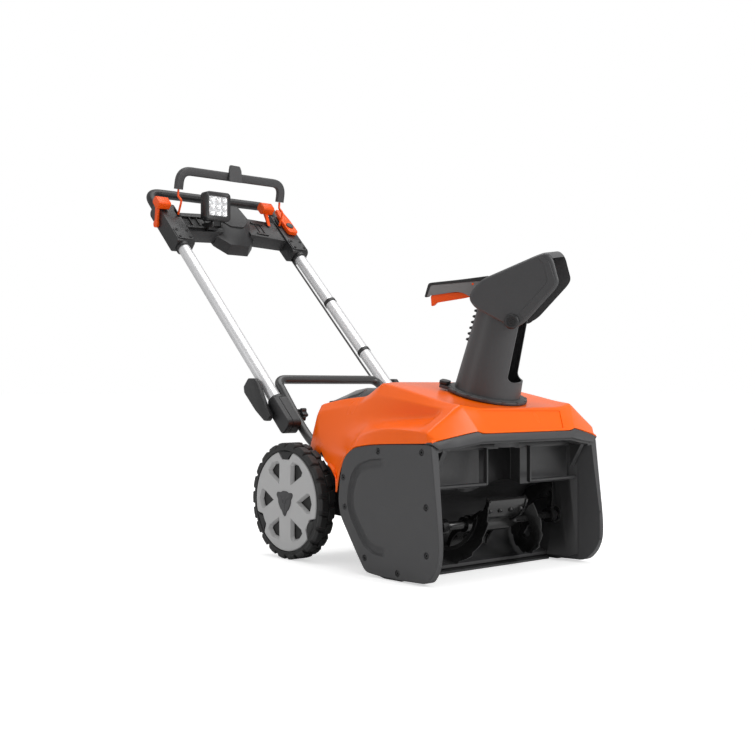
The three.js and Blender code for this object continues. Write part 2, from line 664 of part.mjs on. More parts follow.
function consoleBody() {
  const ring = (points, w) => points.map(([x, u]) => v3(x, u, w));
  const low = [[-36, 706], [36, 706], [70, 744], [78, 800], [62, 868], [-62, 868], [-78, 800], [-70, 744]];
  const mid = [[-34, 716], [34, 716], [68, 752], [76, 802], [62, 872], [-62, 872], [-76, 802], [-68, 752]];
  const top = [[-30, 772], [30, 772], [54, 792], [64, 822], [56, 882], [-56, 882], [-64, 822], [-54, 792]];
  const centre = loft([ring(low, -26), ring(mid, 6), ring(top, 34)]);
  const arms = [-1, 1].map((side) => mirrorX(loft([
    [v3(50, 752, -20), v3(50, 838, -20), v3(50, 838, 24), v3(50, 752, 24)],
    [v3(186, 742, -20), v3(186, 832, -20), v3(186, 832, 20), v3(186, 742, 20)],
  ]), side));
  const ends = [-1, 1].map((side) => mirrorX(
    prismX(roundedRect(END.low, END.high, END.under, END.over, 14), END.inner, END.outer), side,
  ));
  const bores = [-1, 1].map((side) => mirrorX(tubeBore(TUBE_R + 0.4, 600, TUBE_TOP + 1), side));
  return cut(join(centre, ...arms, ...ends), ...bores);
}
// Slots in the end blocks for the swing of the bail rods.
const rodSlots = SIDES.map(([, side]) => (
  mirrorX(prismX([[1056, 934], [1036, 990], [1104, 990], [1080, 934]], 180, 190), side)
));
const consoleGeometry = add('console', cut(onHandle(consoleBody()), ...rodSlots), BLACK).geometry;

function handlebarLoop() {
  const corner = [v3(LOOP_X - 4, END.high + 2, 0), v3(LOOP_X, 945, 4)];
  const path = bentPath([...corner, ...corner.map((p) => v3(-p.x, p.y, p.z)).reverse()], 46);
  return sweep(path, circle(LOOP_R, 10), 36);
}
add('handlebar', onHandle(handlebarLoop()), BLACK);

// Safety bail: a wide bar over the handlebar, carried by two bent rods.
const BAIL = { x: 185, y: 1050, top: 1072, end: 1017, endY: 1062 };
function bailBar() {
  const corner = [v3(BAIL.x, BAIL.endY, BAIL.end), v3(BAIL.x, BAIL.y, BAIL.top)];
  const path = bentPath([...corner, ...corner.map((p) => v3(-p.x, p.y, p.z)).reverse()], 36);
  const section = [[-11, -7], [-7, -12], [7, -12], [11, -7], [11, 7], [7, 12], [-7, 12], [-11, 7]];
  const bar = sweep(path, section, 36);
  const tab = prismY(roundedRect(-23, 23, BAIL.top - 16, BAIL.top + 34, 6), BAIL.y - 16, BAIL.y - 8);
  return join(bar, tab);
}
const bailGeometry = add('bail', bailBar(), GREY).geometry;

function bailRod(side) {
  const points = [[BAIL.endY, BAIL.end - GAP], [1063, 997], [1046, 981], [1058, 952], [1063, 942]];
  const line = points.map(([y, z]) => v3(side * BAIL.x, y, z));
  const path = new THREE.CatmullRomCurve3(line, false, 'catmullrom', 0.3);
  return clearOf(sweep(path, circle(3.6, 6), 14), consoleGeometry, bailGeometry);
}
for (const [label, side] of SIDES) add(`bail_rod_${label}`, bailRod(side), ORANGE_TRIM);

// ---------- work light ----------
const LIGHT = { x: -94, z: 966, half: 43, front: 986, back: 1016 };
function lightHousing() {
  const { x, z, half, front, back } = LIGHT;
  const shell = prismY(roundedRect(x - half, x + half, z - half, z + half, 12), front, back);
  const recess = prismY(roundedRect(x - 34, x + 34, z - 28, z + 32, 4), front - 1, front + 9);
  const lug = block(x - 12, x + 12, front + 6, front + 22, z - half - 14, z - half + 2);
  return cut(join(shell, lug), recess);
}
add('light_housing', lightHousing(), BLACK);
const lensFace = roundedRect(LIGHT.x - 33.5, LIGHT.x + 33.5, LIGHT.z - 27.5, LIGHT.z + 31.5, 4);
add('light_lens', prismY(lensFace, LIGHT.front + 2, LIGHT.front + 8.6), LENS);

function lightBracket() {
  const { x, z, half } = LIGHT;
  const cheeks = [-15, 15].map((shift) => (
    block(x + shift - 2.5, x + shift + 2.5, 990, 1062, z - half - 18, z - half - 3)
  ));
  const base = block(x - 17, x + 17, 1012, 1062, z - half - 24, z - half - 14);
  return clearOf(join(...cheeks, base), consoleGeometry);
}
add('light_bracket', lightBracket(), BLACK);

// ---------- controls on the handle ----------
// Orange drive lever outboard of the right end block.
function driveLever() {
  const disc = cylinderX(11, END.outer + 1, END.outer + 9, 812, -14, 24);
  const arm = prismX([[806, -8], [818, -16], [850, 24], [836, 30]], END.outer + 1, END.outer + 8);
  const head = prismX(roundedRect(824, 860, END.over + 3, END.over + 28, 7), END.outer - 24, END.outer + 16);
  const neck = prismX([[834, 20], [852, 20], [852, 38], [834, 38]], END.outer + 1, END.outer + 8);
  return mirrorX(join(disc, arm, neck, head), -1);
}
add('drive_lever', onHandle(driveLever()), ORANGE_TRIM);

// Orange capped lever on a black stem, left arm.
function speedLever() {
  const stem = prismX([[806, 26.5], [818, 26.5], [866, 42], [856, 50]], 139, 149);
  const cap = prismX(roundedRect(842, 876, 40, 68, 8), 124, 164);
  return join(stem, cap);
}
add('speed_lever', onHandle(speedLever()), ORANGE_TRIM);

const START = { low: 768, high: 884, x0: 196, x1: 232, top: 40, buttonX: 214, buttonU: 800 };
function startLever() {
  const plan = [
    [START.x0 + 4, START.low], [START.x1 - 4, START.low], [START.x1, START.low + 8], [START.x1, 826],
    [START.x1 - 8, START.high], [START.x0 + 8, START.high], [START.x0, 826], [START.x0, START.low + 8],
  ];
  const lever = prismZ(plan, END.over + 1, START.top);
  return cut(lever, cylinderZ(12.4, START.top - 5, START.top + 2, START.buttonX, START.buttonU, 28));
}
add('start_lever', onHandle(startLever()), ORANGE_TRIM);
const button = cylinderZ(12, START.top - 2, START.top + 3, START.buttonX, START.buttonU, 28);
add('start_button', onHandle(button), GREY);

// Control cable: console to clamp block, beside the left tube.
const CABLE_R = 3;
const CABLE_ROUTE = [
  [189, 687, -12], [189, 640, -13], [189, 560, -14], [189, 470, -14], [189, 380, -14],
  [189, 290, -14], [190, 210, -15], [193, 150, -17], [197, 105, -20], [199, 63, -22],
];
const cableCurve = new THREE.CatmullRomCurve3(CABLE_ROUTE.map(([x, u, w]) => v3(x, u, w)));
add('control_cable', onHandle(sweep(cableCurve, circle(CABLE_R, 8), 24)), RUBBER);

// ---------- chute, built in a frame with -Y towards the discharge side and +Z up the axis ----------
const onChute = (geometry) => geometry.applyMatrix4(chuteTurned);

// Fixed collar in the hood with a duct down to the housing.
function chuteBase() {
  const bush = cut(cylinderZ(85, -20, -1, 0, 0, 32), cylinderZ(72, -21, 0, 0, 0, 32));
  const collar = bush.applyMatrix4(chuteFrame);
  const duct = cut(cylinderZ(77, 291, 450, 0, RING.y, 32), cylinderZ(71, 280, 500, 0, RING.y, 32));
  const above = cylinderZ(200, -6, 200, 0, 0, 24).applyMatrix4(chuteFrame);
  const bore = cylinderZ(71, -60, 10, 0, 0, 32).applyMatrix4(chuteFrame);
  return clearOf(cut(join(collar, cut(duct, above)), bore), housing);
}
add('chute_base', chuteBase(), GREY);

function chuteTube() {
  const ring = (h, extra) => {
    const part = h / 200;
    const radius = CHUTE.base + (CHUTE.top - CHUTE.base) * part + extra;
    return Array.from({ length: 32 }, (_, i) => {
      const angle = (i / 32) * TAU;
      return v3(radius * Math.cos(angle), radius * Math.sin(angle) - CHUTE.lean * part, h);
    });
  };
  const outer = loft([ring(0, 0), ring(CHUTE.height, 0)]);
  const bore = loft([ring(-10, -CHUTE.wall), ring(CHUTE.height + 20, -CHUTE.wall)]);
  const flange = cylinderZ(RING.outer, 0, 9, 0, 0, 36);
  const lug = prismZ(roundedRect(-52, -8, 60, 112, 10), 0, 9);
  const opening = prismX([[-44, 58], [-50, 52], [-200, 52], [-200, 320], [-64, 320]], -120, 120);
  const topCut = prismX([[-200, 222], [-30, 226], [120, 238], [120, 400], [-200, 400]], -120, 120);
  const whole = join(outer, flange, lug);
  return cut(whole, bore, opening, topCut);
}
add('chute_tube', onChute(chuteTube()), GREY);
add('chute_latch', onChute(prismZ(roundedRect(-46, -14, 86, 109, 8), 9.4, 18)), BLACK);

// Hood over the top of the tube, open towards the discharge side. Outline in (y, z).
const HOODLET = [
  [-26, 182], [52, 205], [70, 224], [63, 249], [46, 273], [-67, 350], [-88, 362],
  [-106, 350], [-130, 301], [-126, 286], [-72, 196], [-54, 180], [-42, 175],
];
const HOODLET_SPACE = [
  [-20, 150], [60, 190], [64, 224], [57, 246], [43, 267],
  [-68, 343], [-100, 352], [-180, 330], [-170, 270], [-80, 150],
];
const DEFLECTOR_HALF = 77;

function deflector() {
  const body = prismX(HOODLET, -DEFLECTOR_HALF, DEFLECTOR_HALF);
  const space = prismX(HOODLET_SPACE, -DEFLECTOR_HALF + 4.5, DEFLECTOR_HALF - 4.5);
  const holes = cylinderX(7, -120, 120, -PIVOT.forward, PIVOT.up, 20);
  return cut(body, space, holes);
}
const deflectorGeometry = add('deflector', onChute(deflector()), GREY).geometry;

const boltHead = [
  [0, DEFLECTOR_HALF + GAP], [17, DEFLECTOR_HALF + GAP], [17, DEFLECTOR_HALF + 5],
  [12, DEFLECTOR_HALF + 8], [0, DEFLECTOR_HALF + 8],
];
function pivotBolt(side) {
  const bolt = join(latheX(boltHead, 32), cylinderX(6.5, 70, DEFLECTOR_HALF + 2, 0, 0, 20));
  return mirrorX(bolt.translate(0, -PIVOT.forward, PIVOT.up), side);
}
for (const [label, side] of SIDES) add(`pivot_bolt_${label}`, onChute(pivotBolt(side)), BLACK);

const GRIP = [
  [189, 200], [184, 231], [120, 250], [70, 268], [52, 275],
  [64, 250], [71, 226], [74, 219], [99, 227], [116, 226],
];
const chuteGrip = () => cut(
  prismX(GRIP, -13, 13),
  prismX([[186, 196], [176, 214], [110, 232], [84, 230], [70, 215], [120, 190]], -9, 9),
);
add('chute_grip', clearOf(onChute(chuteGrip()), deflectorGeometry), GRIP_GREY);
const TRIGGER = [
  [177, 203], [171, 180], [166, 181], [160, 190], [96, 214],
  [82, 220], [84, 226], [110, 227], [168, 211],
];
add('chute_trigger', onChute(prismX(TRIGGER, -8, 8)), ORANGE_TRIM);

export default machine;
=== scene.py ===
# Looks of the snow blower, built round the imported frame. Metres, +Z up, intake towards -Y.
import math
import json

import bpy
import bmesh
from mathutils import Vector, Matrix


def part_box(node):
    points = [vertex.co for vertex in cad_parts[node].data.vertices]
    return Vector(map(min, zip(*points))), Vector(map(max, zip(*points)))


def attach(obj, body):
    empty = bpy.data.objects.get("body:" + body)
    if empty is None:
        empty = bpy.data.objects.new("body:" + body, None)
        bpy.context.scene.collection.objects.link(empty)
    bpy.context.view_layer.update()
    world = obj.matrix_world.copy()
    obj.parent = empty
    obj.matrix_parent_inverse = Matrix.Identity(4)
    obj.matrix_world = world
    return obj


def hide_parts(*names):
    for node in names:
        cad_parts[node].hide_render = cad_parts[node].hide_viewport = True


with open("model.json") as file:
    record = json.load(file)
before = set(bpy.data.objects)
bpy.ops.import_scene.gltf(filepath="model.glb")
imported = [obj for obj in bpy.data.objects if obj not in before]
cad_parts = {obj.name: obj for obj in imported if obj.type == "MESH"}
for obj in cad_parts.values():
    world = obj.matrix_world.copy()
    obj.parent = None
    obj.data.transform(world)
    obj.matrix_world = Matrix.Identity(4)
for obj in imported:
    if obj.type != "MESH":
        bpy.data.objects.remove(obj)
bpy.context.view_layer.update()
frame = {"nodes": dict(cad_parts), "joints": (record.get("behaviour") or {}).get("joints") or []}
NODES = frame["nodes"]

# ---------------------------------------------------------------- places taken from the frame
# Lists below are millimetres with y counted from the scraper edge, as the part is laid out.
MM = 0.001
SHIFT_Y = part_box("scraper_bar")[0].y + 4 * MM
HALF_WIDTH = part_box("side_plate_left")[1].x / MM
JOINTS = {joint["name"]: joint for joint in frame["joints"]}
WHEEL_Y = JOINTS["wheel_left_spin"]["pos_m"][1] - SHIFT_Y
WHEEL_Z = JOINTS["wheel_left_spin"]["pos_m"][2]
FOLD_AT = Vector(JOINTS["handle_fold"]["pos_m"])
RING_AT = Vector(JOINTS["chute_turn"]["pos_m"])
AUGER_AT = Vector(JOINTS["auger_spin"]["pos_m"])
INCLINE = math.radians(43.9)
RING_TILT = math.radians(15)
RING_TURN = math.radians(30)

BODY = Matrix.Translation((0, SHIFT_Y, 0))
HANDLE = Matrix.Translation(FOLD_AT) @ Matrix.Rotation(INCLINE, 4, "X")
COLLAR = Matrix.Translation(RING_AT) @ Matrix.Rotation(RING_TILT, 4, "X")
CHUTE = COLLAR @ Matrix.Rotation(RING_TURN, 4, "Z")
SOLVER = "MANIFOLD"
FLIP = Matrix.Diagonal((-1, 1, 1, 1))
FLOOR_HALF = 60
FLOOR_GLOW = 0.56
ROOM_LEVEL = 0.55
SIDES = (("right", -1), ("left", 1))


# ---------------------------------------------------------------- camera, light, floor
def build_stage():
    camera_data = bpy.data.cameras.new("camera")
    camera = bpy.data.objects.new("camera", camera_data)
    bpy.context.scene.collection.objects.link(camera)
    camera.location = (-1.98527, -1.905 + SHIFT_Y, 0.43218)
    forward = Vector((0.65673, 0.75409, 0.00753))
    camera.rotation_euler = forward.to_track_quat("-Z", "Y").to_euler()
    camera_data.sensor_width = 36
    camera_data.lens = 55
    bpy.context.scene.camera = camera

    mesh = bpy.data.meshes.new("floor")
    corners = [(x * FLOOR_HALF, y * FLOOR_HALF, 0) for x, y in ((-1, -1), (1, -1), (1, 1), (-1, 1))]
    mesh.from_pydata(corners, [], [(0, 1, 2, 3)])
    floor = bpy.data.objects.new("floor", mesh)
    bpy.context.scene.collection.objects.link(floor)
    paper, tree, bsdf = shader("floor_paper")
    bsdf.inputs["Base Color"].default_value = (0.80, 0.80, 0.80, 1)
    bsdf.inputs["Roughness"].default_value = 0.7
    bsdf.inputs["Specular IOR Level"].default_value = 0.2
    bsdf.inputs["Emission Color"].default_value = (1, 1, 1, 1)
    path = tree.nodes.new("ShaderNodeLightPath")
    glow = tree.nodes.new("ShaderNodeMath")
    glow.operation = "MULTIPLY"
    glow.inputs[1].default_value = FLOOR_GLOW
    tree.links.new(path.outputs["Is Camera Ray"], glow.inputs[0])
    tree.links.new(glow.outputs["Value"], bsdf.inputs["Emission Strength"])
    mesh.materials.append(paper)

    world = bpy.data.worlds.new("studio")
    bpy.context.scene.world = world
    world.use_nodes = True
    tree = world.node_tree
    background = tree.nodes["Background"]
    background.inputs["Color"].default_value = (1, 1, 1, 1)
    # White behind the object, a dimmer white room around it.
    path = tree.nodes.new("ShaderNodeLightPath")
    level = tree.nodes.new("ShaderNodeMapRange")
    level.inputs["To Min"].default_value = ROOM_LEVEL
    level.inputs["To Max"].default_value = 1.0
    tree.links.new(path.outputs["Is Camera Ray"], level.inputs["Value"])
    tree.links.new(level.outputs["Result"], background.inputs["Strength"])

    def area(name, place, target, size, power):
        data = bpy.data.lights.new(name, "AREA")
        data.shape = "RECTANGLE"
        data.size, data.size_y = size
        data.energy = power
        lamp = bpy.data.objects.new(name, data)
        bpy.context.scene.collection.objects.link(lamp)
        lamp.location = place
        lamp.rotation_euler = (Vector(target) - Vector(place)).to_track_quat("-Z", "Y").to_euler()

    area("key", (0.9, -3.4, 1.9), (0, -0.4, 0.4), (1.4, 1.8), 58)
    area("top", (0.3, -0.1, 3.0), (0, -0.1, 0.4), (2.2, 2.6), 46)
    area("side", (-3.2, 1.2, 1.2), (0, 0, 0.5), (1.0, 2.0), 9)
    bpy.context.scene.view_settings.view_transform = "Standard"


# ---------------------------------------------------------------- materials
def shader(name):
    material = bpy.data.materials.new(name)
    material.use_nodes = True
    tree = material.node_tree
    return material, tree, tree.nodes["Principled BSDF"]


def finish_material(name, color, roughness, spread=0.06, grain=900.0, bump=0.08, tint=0.04, metallic=0.0,
                    coat=0.0, specular=0.5):
    """Colour that varies slowly, roughness that varies finely, and a moulded or cast grain."""
    material, tree, bsdf = shader(name)
    nodes, links = tree.nodes, tree.links
    place = nodes.new("ShaderNodeTexCoord")
    broad = nodes.new("ShaderNodeTexNoise")
    broad.inputs["Scale"].default_value = 9
    broad.inputs["Detail"].default_value = 3
    links.new(place.outputs["Object"], broad.inputs["Vector"])
    mix = nodes.new("ShaderNodeMix")
    mix.data_type = "RGBA"
    mix.inputs["A"].default_value = (*[c * (1 - tint) for c in color], 1)
    mix.inputs["B"].default_value = (*[min(1, c * (1 + tint)) for c in color], 1)
    links.new(broad.outputs["Fac"], mix.inputs["Factor"])
    links.new(mix.outputs["Result"], bsdf.inputs["Base Color"])
    fine = nodes.new("ShaderNodeTexNoise")
    fine.inputs["Scale"].default_value = grain
    fine.inputs["Detail"].default_value = 2
    links.new(place.outputs["Object"], fine.inputs["Vector"])
    span = nodes.new("ShaderNodeMapRange")
    span.inputs["To Min"].default_value = max(0.02, roughness - spread)
    span.inputs["To Max"].default_value = roughness + spread
    links.new(broad.outputs["Fac"], span.inputs["Value"])
    links.new(span.outputs["Result"], bsdf.inputs["Roughness"])
    relief = nodes.new("ShaderNodeBump")
    relief.inputs["Strength"].default_value = bump
    relief.inputs["Distance"].default_value = 0.0006
    links.new(fine.outputs["Fac"], relief.inputs["Height"])
    if bump:
        links.new(relief.outputs["Normal"], bsdf.inputs["Normal"])
    bsdf.inputs["Metallic"].default_value = metallic
    bsdf.inputs["Coat Weight"].default_value = coat
    bsdf.inputs["Coat Roughness"].default_value = 0.12
    bsdf.inputs["Specular IOR Level"].default_value = specular
    return material


ORANGE = finish_material("orange_hood", (1.0, 0.132, 0.0), 0.26, 0.04, 500, 0.0, 0.03, specular=0.32)
TRIM = finish_material("orange_trim", (0.90, 0.09, 0.002), 0.38, 0.05, 900, 0.03, specular=0.3)
GREY = finish_material("dark_grey_plastic", (0.05, 0.05, 0.052), 0.50, 0.06, 1400, 0.22)
CHUTE_GREY = finish_material("chute_plastic", (0.05, 0.05, 0.052), 0.40, 0.06, 1200, 0.12)
BLACK = finish_material("black_plastic", (0.013, 0.013, 0.014), 0.40, 0.08, 1300, 0.15)
SHELL = finish_material("intake_shell", (0.034, 0.034, 0.035), 0.36, 0.06, 900, 0.08)
GRIP = finish_material("grip_grey", (0.19, 0.19, 0.19), 0.48, 0.05, 1500, 0.2)
SMOKED = finish_material("smoked_lid", (0.03, 0.031, 0.033), 0.12, 0.03, 500, 0.01, coat=0.6)
RUBBER = finish_material("rubber", (0.008, 0.008, 0.008), 0.24, 0.08, 500, 0.05, coat=0.3)
TYRE = finish_material("wheel_black", (0.016, 0.016, 0.016), 0.62, 0.1, 700, 0.3)
SILVER = finish_material("silver_cover", (0.46, 0.46, 0.46), 0.40, 0.05, 1400, 0.08)
STEEL = finish_material("steel", (0.42, 0.42, 0.43), 0.34, 0.08, 800, 0.1, metallic=1.0)
COAT_STEEL = finish_material("black_steel", (0.035, 0.035, 0.036), 0.34, 0.06, 900, 0.06, coat=0.2)
ALUMINIUM = finish_material("tube_aluminium", (0.72, 0.72, 0.73), 0.34, 0.03, 300, 0.0, metallic=0.5)
LENS = finish_material("lens", (0.80, 0.82, 0.84), 0.08, 0.03, 300, 0.02, coat=0.5)
LED = finish_material("led_reflector", (0.86, 0.87, 0.88), 0.18, 0.05, 300, 0.02, metallic=0.7)

SLOT_MATERIALS = {
    "orange_hood": ORANGE, "orange_trim": TRIM, "dark_grey_plastic": GREY, "black_plastic": BLACK,
    "grip_grey": GRIP, "smoked_lid": SMOKED, "rubber": RUBBER, "wheel_black": TYRE,
    "silver_cover": SILVER,
    "tube_aluminium": ALUMINIUM, "steel": STEEL, "black_steel": COAT_STEEL, "lens": LENS,
}


# ---------------------------------------------------------------- mesh helpers
def piece(name, mesh_data, body, slot, material=None, space=BODY, replaces=(), smooth=35, bevel=0.0,
          segments=2):
    """An object from a bmesh in millimetres, placed by a frame matrix and riding on a body."""
    mesh = bpy.data.meshes.new(name)
    bmesh.ops.scale(mesh_data, vec=(MM, MM, MM), verts=mesh_data.verts)
    mesh_data.transform(space)
    bmesh.ops.remove_doubles(mesh_data, verts=mesh_data.verts, dist=1e-6)
    bmesh.ops.recalc_face_normals(mesh_data, faces=mesh_data.faces)
    mesh_data.to_mesh(mesh)
    mesh_data.free()
    obj = bpy.data.objects.new(name, mesh)
    bpy.context.scene.collection.objects.link(obj)
    mesh.materials.append(material or SLOT_MATERIALS[slot])
    mesh.shade_smooth()
    mesh.set_sharp_from_angle(angle=math.radians(smooth))
    if bevel:
        round_edges(obj, bevel, segments)
    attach(obj, body)
    if replaces:
        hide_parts(*replaces)
    return obj


def round_edges(obj, width_mm, segments=2, angle=32):
    modifier = obj.modifiers.new("edges", "BEVEL")
    modifier.width = width_mm * MM
    modifier.segments = segments
    modifier.limit_method = "ANGLE"
    modifier.angle_limit = math.radians(angle)
    modifier.harden_normals = True
    modifier.use_clamp_overlap = True


def polish(name, material, width=1.0, segments=2):
    """Better edges, shading and material on a CAD node that keeps its shape."""
    node = NODES[name]
    node.data.polygons.foreach_set("use_smooth", [True] * len(node.data.polygons))
    weld = node.modifiers.new("weld", "WELD")
    weld.merge_threshold = 1e-5
    flat = node.modifiers.new("flat", "DECIMATE")
    flat.decimate_type = "DISSOLVE"
    flat.angle_limit = math.radians(1.0)
    round_edges(node, width, segments, 30)
    node.data.materials.clear()
    node.data.materials.append(material)


def outline_prism(outline, axis, low, high):
    """Bmesh prism: outline in the plane across an axis (X: y,z  Y: x,z  Z: x,y)."""
    place = {
        "X": lambda a, b, t: (t, a, b),
        "Y": lambda a, b, t: (a, t, b),
        "Z": lambda a, b, t: (a, b, t),
    }[axis]
    mesh = bmesh.new()
    near = [mesh.verts.new(place(a, b, low)) for a, b in outline]
    far = [mesh.verts.new(place(a, b, high)) for a, b in outline]
    count = len(outline)
    mesh.faces.new(near)
    mesh.faces.new(far)
    for i in range(count):
        j = (i + 1) % count
        mesh.faces.new((near[i], near[j], far[j], far[i]))
    bmesh.ops.recalc_face_normals(mesh, faces=mesh.faces)
    return mesh


def loft(rings, closed_ends=True):
    mesh = bmesh.new()
    rows = [[mesh.verts.new(p) for p in ring] for ring in rings]
    count = len(rings[0])
    for a, b in zip(rows, rows[1:]):
        for i in range(count):
            j = (i + 1) % count
            mesh.faces.new((a[i], a[j], b[j], b[i]))
    if closed_ends:
        mesh.faces.new(rows[0])
        mesh.faces.new(rows[-1])
    return mesh


def rounded(points, radius, steps=5):
    """Closed outline with its corners rounded by a radius, or one radius per point."""
    radii = radius if isinstance(radius, (list, tuple)) else [radius] * len(points)
    result = []
    count = len(points)
    for i, point in enumerate(points):
        corner = Vector(point)
        before = Vector(points[i - 1]) - corner
        after = Vector(points[(i + 1) % count]) - corner
        reach = min(radii[i], before.length * 0.48, after.length * 0.48)
        start = corner + before.normalized() * reach
        end = corner + after.normalized() * reach
        for s in range(steps + 1):
            t = s / steps
            result.append(tuple(start * (1 - t) ** 2 + corner * 2 * t * (1 - t) + end * t * t))
    return result


def circle(radius, count=32, cx=0.0, cy=0.0):
    return [(cx + radius * math.cos(math.tau * i / count),
             cy + radius * math.sin(math.tau * i / count)) for i in range(count)]


def bent_path(points, radius, steps=8):
    """Open polyline with rounded corners."""
    result = [Vector(points[0])]
    for i in range(1, len(points) - 1):
        corner = Vector(points[i])
        before = Vector(points[i - 1]) - corner
        after = Vector(points[i + 1]) - corner
        start = corner + before.normalized() * radius
        end = corner + after.normalized() * radius
        for s in range(steps + 1):
            t = s / steps
            result.append(start * (1 - t) ** 2 + corner * 2 * t * (1 - t) + end * t * t)
    result.append(Vector(points[-1]))
    return result


def sweep(path, section, across=Vector((0, 0, 1))):
    """Section swept along a path; 'across' fixes how the section is turned."""
    rings = []
    for i, point in enumerate(path):
        ahead = path[min(i + 1, len(path) - 1)] - path[max(i - 1, 0)]
        ahead.normalize()
        side = ahead.cross(across).normalized()
        up = side.cross(ahead).normalized()
        rings.append([point + side * a + up * b for a, b in section])
    return loft(rings)


def revolve(profile, axis_point, segments=64):
    """Closed profile of (radius, x) revolved about an X axis through (y, z)."""
    y, z = axis_point
    rings = []
    for i in range(segments):
        angle = math.tau * i / segments
        rings.append([(x, y + r * math.cos(angle), z + r * math.sin(angle)) for r, x in profile])
    mesh = bmesh.new()
    rows = [[mesh.verts.new(p) for p in ring] for ring in rings]
    count = len(profile)
    for k in range(segments):
        a, b = rows[k], rows[(k + 1) % segments]
        for i in range(count):
            j = (i + 1) % count
            mesh.faces.new((a[i], a[j], b[j], b[i]))
    return mesh


def mirror(mesh_data, side):
    if side < 0:
        mesh_data.transform(FLIP)
        bmesh.ops.reverse_faces(mesh_data, faces=mesh_data.faces)
    return mesh_data


def carve(obj, *cutters):
    """Boolean differences, baked at once, so no cutter is left in the scene."""
    for index, (data, space) in enumerate(cutters):
        mesh = bpy.data.meshes.new(f"cutter{index}")
        bmesh.ops.scale(data, vec=(MM, MM, MM), verts=data.verts)
        data.transform(space)
        bmesh.ops.recalc_face_normals(data, faces=data.faces)
        data.to_mesh(mesh)
        data.free()
        tool = bpy.data.objects.new(f"cutter{index}", mesh)
        bpy.context.scene.collection.objects.link(tool)
        modifier = obj.modifiers.new("cut", "BOOLEAN")
        modifier.operation = "DIFFERENCE"
        modifier.solver = SOLVER
        modifier.object = tool
        bake(obj)
        bpy.data.objects.remove(tool)
        bpy.data.meshes.remove(mesh)


def bake(obj):
    graph = bpy.context.evaluated_depsgraph_get()
    graph.update()
    result = bpy.data.meshes.new_from_object(obj.evaluated_get(graph))
    old = obj.data
    obj.modifiers.clear()
    obj.data = result
    bpy.data.meshes.remove(old)


def shade(obj, angle=35):
    obj.data.shade_smooth()
    obj.data.set_sharp_from_angle(angle=math.radians(angle))


build_stage()


# ---------------------------------------------------------------- side plates
# Outline in (y, z), counter-clockwise seen from +X.
PLATE_OUTLINE = [
    (-105, 6), (-23, 4), (47, 5), (62, 6), (98, 9), (128, 48), (160, 92), (186, 128), (194, 160),
    (193, 185),
    (187, 225), (177, 261), (160, 279), (136, 291), (90, 298), (20, 303), (-60, 306), (-108, 307),
    (-121, 305),
    (-130, 227), (-142, 130), (-145, 90), (-143, 58), (-130, 30),
]
PLATE_SCREWS = [(52, 286), (-91, 289), (175, 220), (170, 152), (-105, 171), (98, 41), (-106, 68),
                (-13, 19)]
PLATE_GROOVE = [(8, 259), (40, 259), (84, 255), (118, 244), (137, 222), (148, 190), (150, 160),
                (138, 132),
                (112, 96), (92, 74), (70, 64), (34, 61), (10, 61)]


def groove_cutter(side):
    """Soft channel along the groove line, rising out of the panel at both ends."""
    line = bent_path([Vector((HALF_WIDTH + 1.2, y, z)) for y, z in PLATE_GROOVE], 8, 4)
    count = len(line)
    rings = []
    for i, point in enumerate(line):
        ahead = (line[min(i + 1, count - 1)] - line[max(i - 1, 0)]).normalized()
        across = ahead.cross(Vector((1, 0, 0))).normalized()
        fade = min(1, i / 5, (count - 1 - i) / 5)
        depth = 1.2 + 6.8 * fade
        section = [(-12, 0), (-10, 0.5), (-7, 0.95), (-2, 1.0), (6, 0.75), (15, 0), (15, -1), (-12, -1)]
        rings.append([point + across * a - Vector((1, 0, 0)) * (depth * b) for a, b in section])
    return mirror(loft(rings), side)


FLARE = [(-190, 272), (-142, 266), (-60, 241)]


def flare():
    """Mouth of the intake, opening towards the front."""
    return loft([[(-half, y, -10), (half, y, -10), (half, y, 289),
                  (-half, y, 289)] for y, half in FLARE])


def build_side_plate(label, side):
    outline = rounded(PLATE_OUTLINE, 14, 4)
    plate = piece(f"side_panel_{label}", mirror(outline_prism(outline, "X", HALF_WIDTH - 30, HALF_WIDTH),
                                                side),
                  "body", "dark_grey_plastic", replaces=[f"side_plate_{label}"], bevel=3.2, segments=3)
    pocket = rounded([(-78, 50), (40, 50), (145, 185), (145, 248), (80, 248), (-78, 168)], 12, 3)
    hollow = mirror(outline_prism(pocket, "X", HALF_WIDTH - 31, HALF_WIDTH - 12), side)
    carve(plate, (hollow, BODY), (flare(), BODY), (groove_cutter(side), BODY))
    for y, z in PLATE_SCREWS:
        seat = loft([[(HALF_WIDTH - 3.5, y + 6.5 * c, z + 6.5 * s) for c, s in circle(1, 24)],
                     [(HALF_WIDTH + 0.5, y + 8.0 * c, z + 8.0 * s) for c, s in circle(1, 24)]])
        carve(plate, (mirror(seat, side), BODY))
    shade(plate, 28)
    plate.modifiers.new("normals", "WEIGHTED_NORMAL").keep_sharp = True
    heads = bmesh.new()
    for y, z in PLATE_SCREWS:
        head = [(5.6, HALF_WIDTH - 5), (5.6, HALF_WIDTH - 1.8), (4.6, HALF_WIDTH - 1.0),
                (2.6, HALF_WIDTH - 1.0),
                (2.3, HALF_WIDTH - 3.2), (0.05, HALF_WIDTH - 3.2), (0.05, HALF_WIDTH - 5)]
        merge(heads, revolve(head, (y, z), 24))
    piece(f"plate_screws_{label}", mirror(heads, side), "body", "black_plastic", smooth=40)


def merge(target, source):
    mesh = bpy.data.meshes.new("merge")
    source.to_mesh(mesh)
    source.free()
    target.from_mesh(mesh)
    bpy.data.meshes.remove(mesh)
    return target


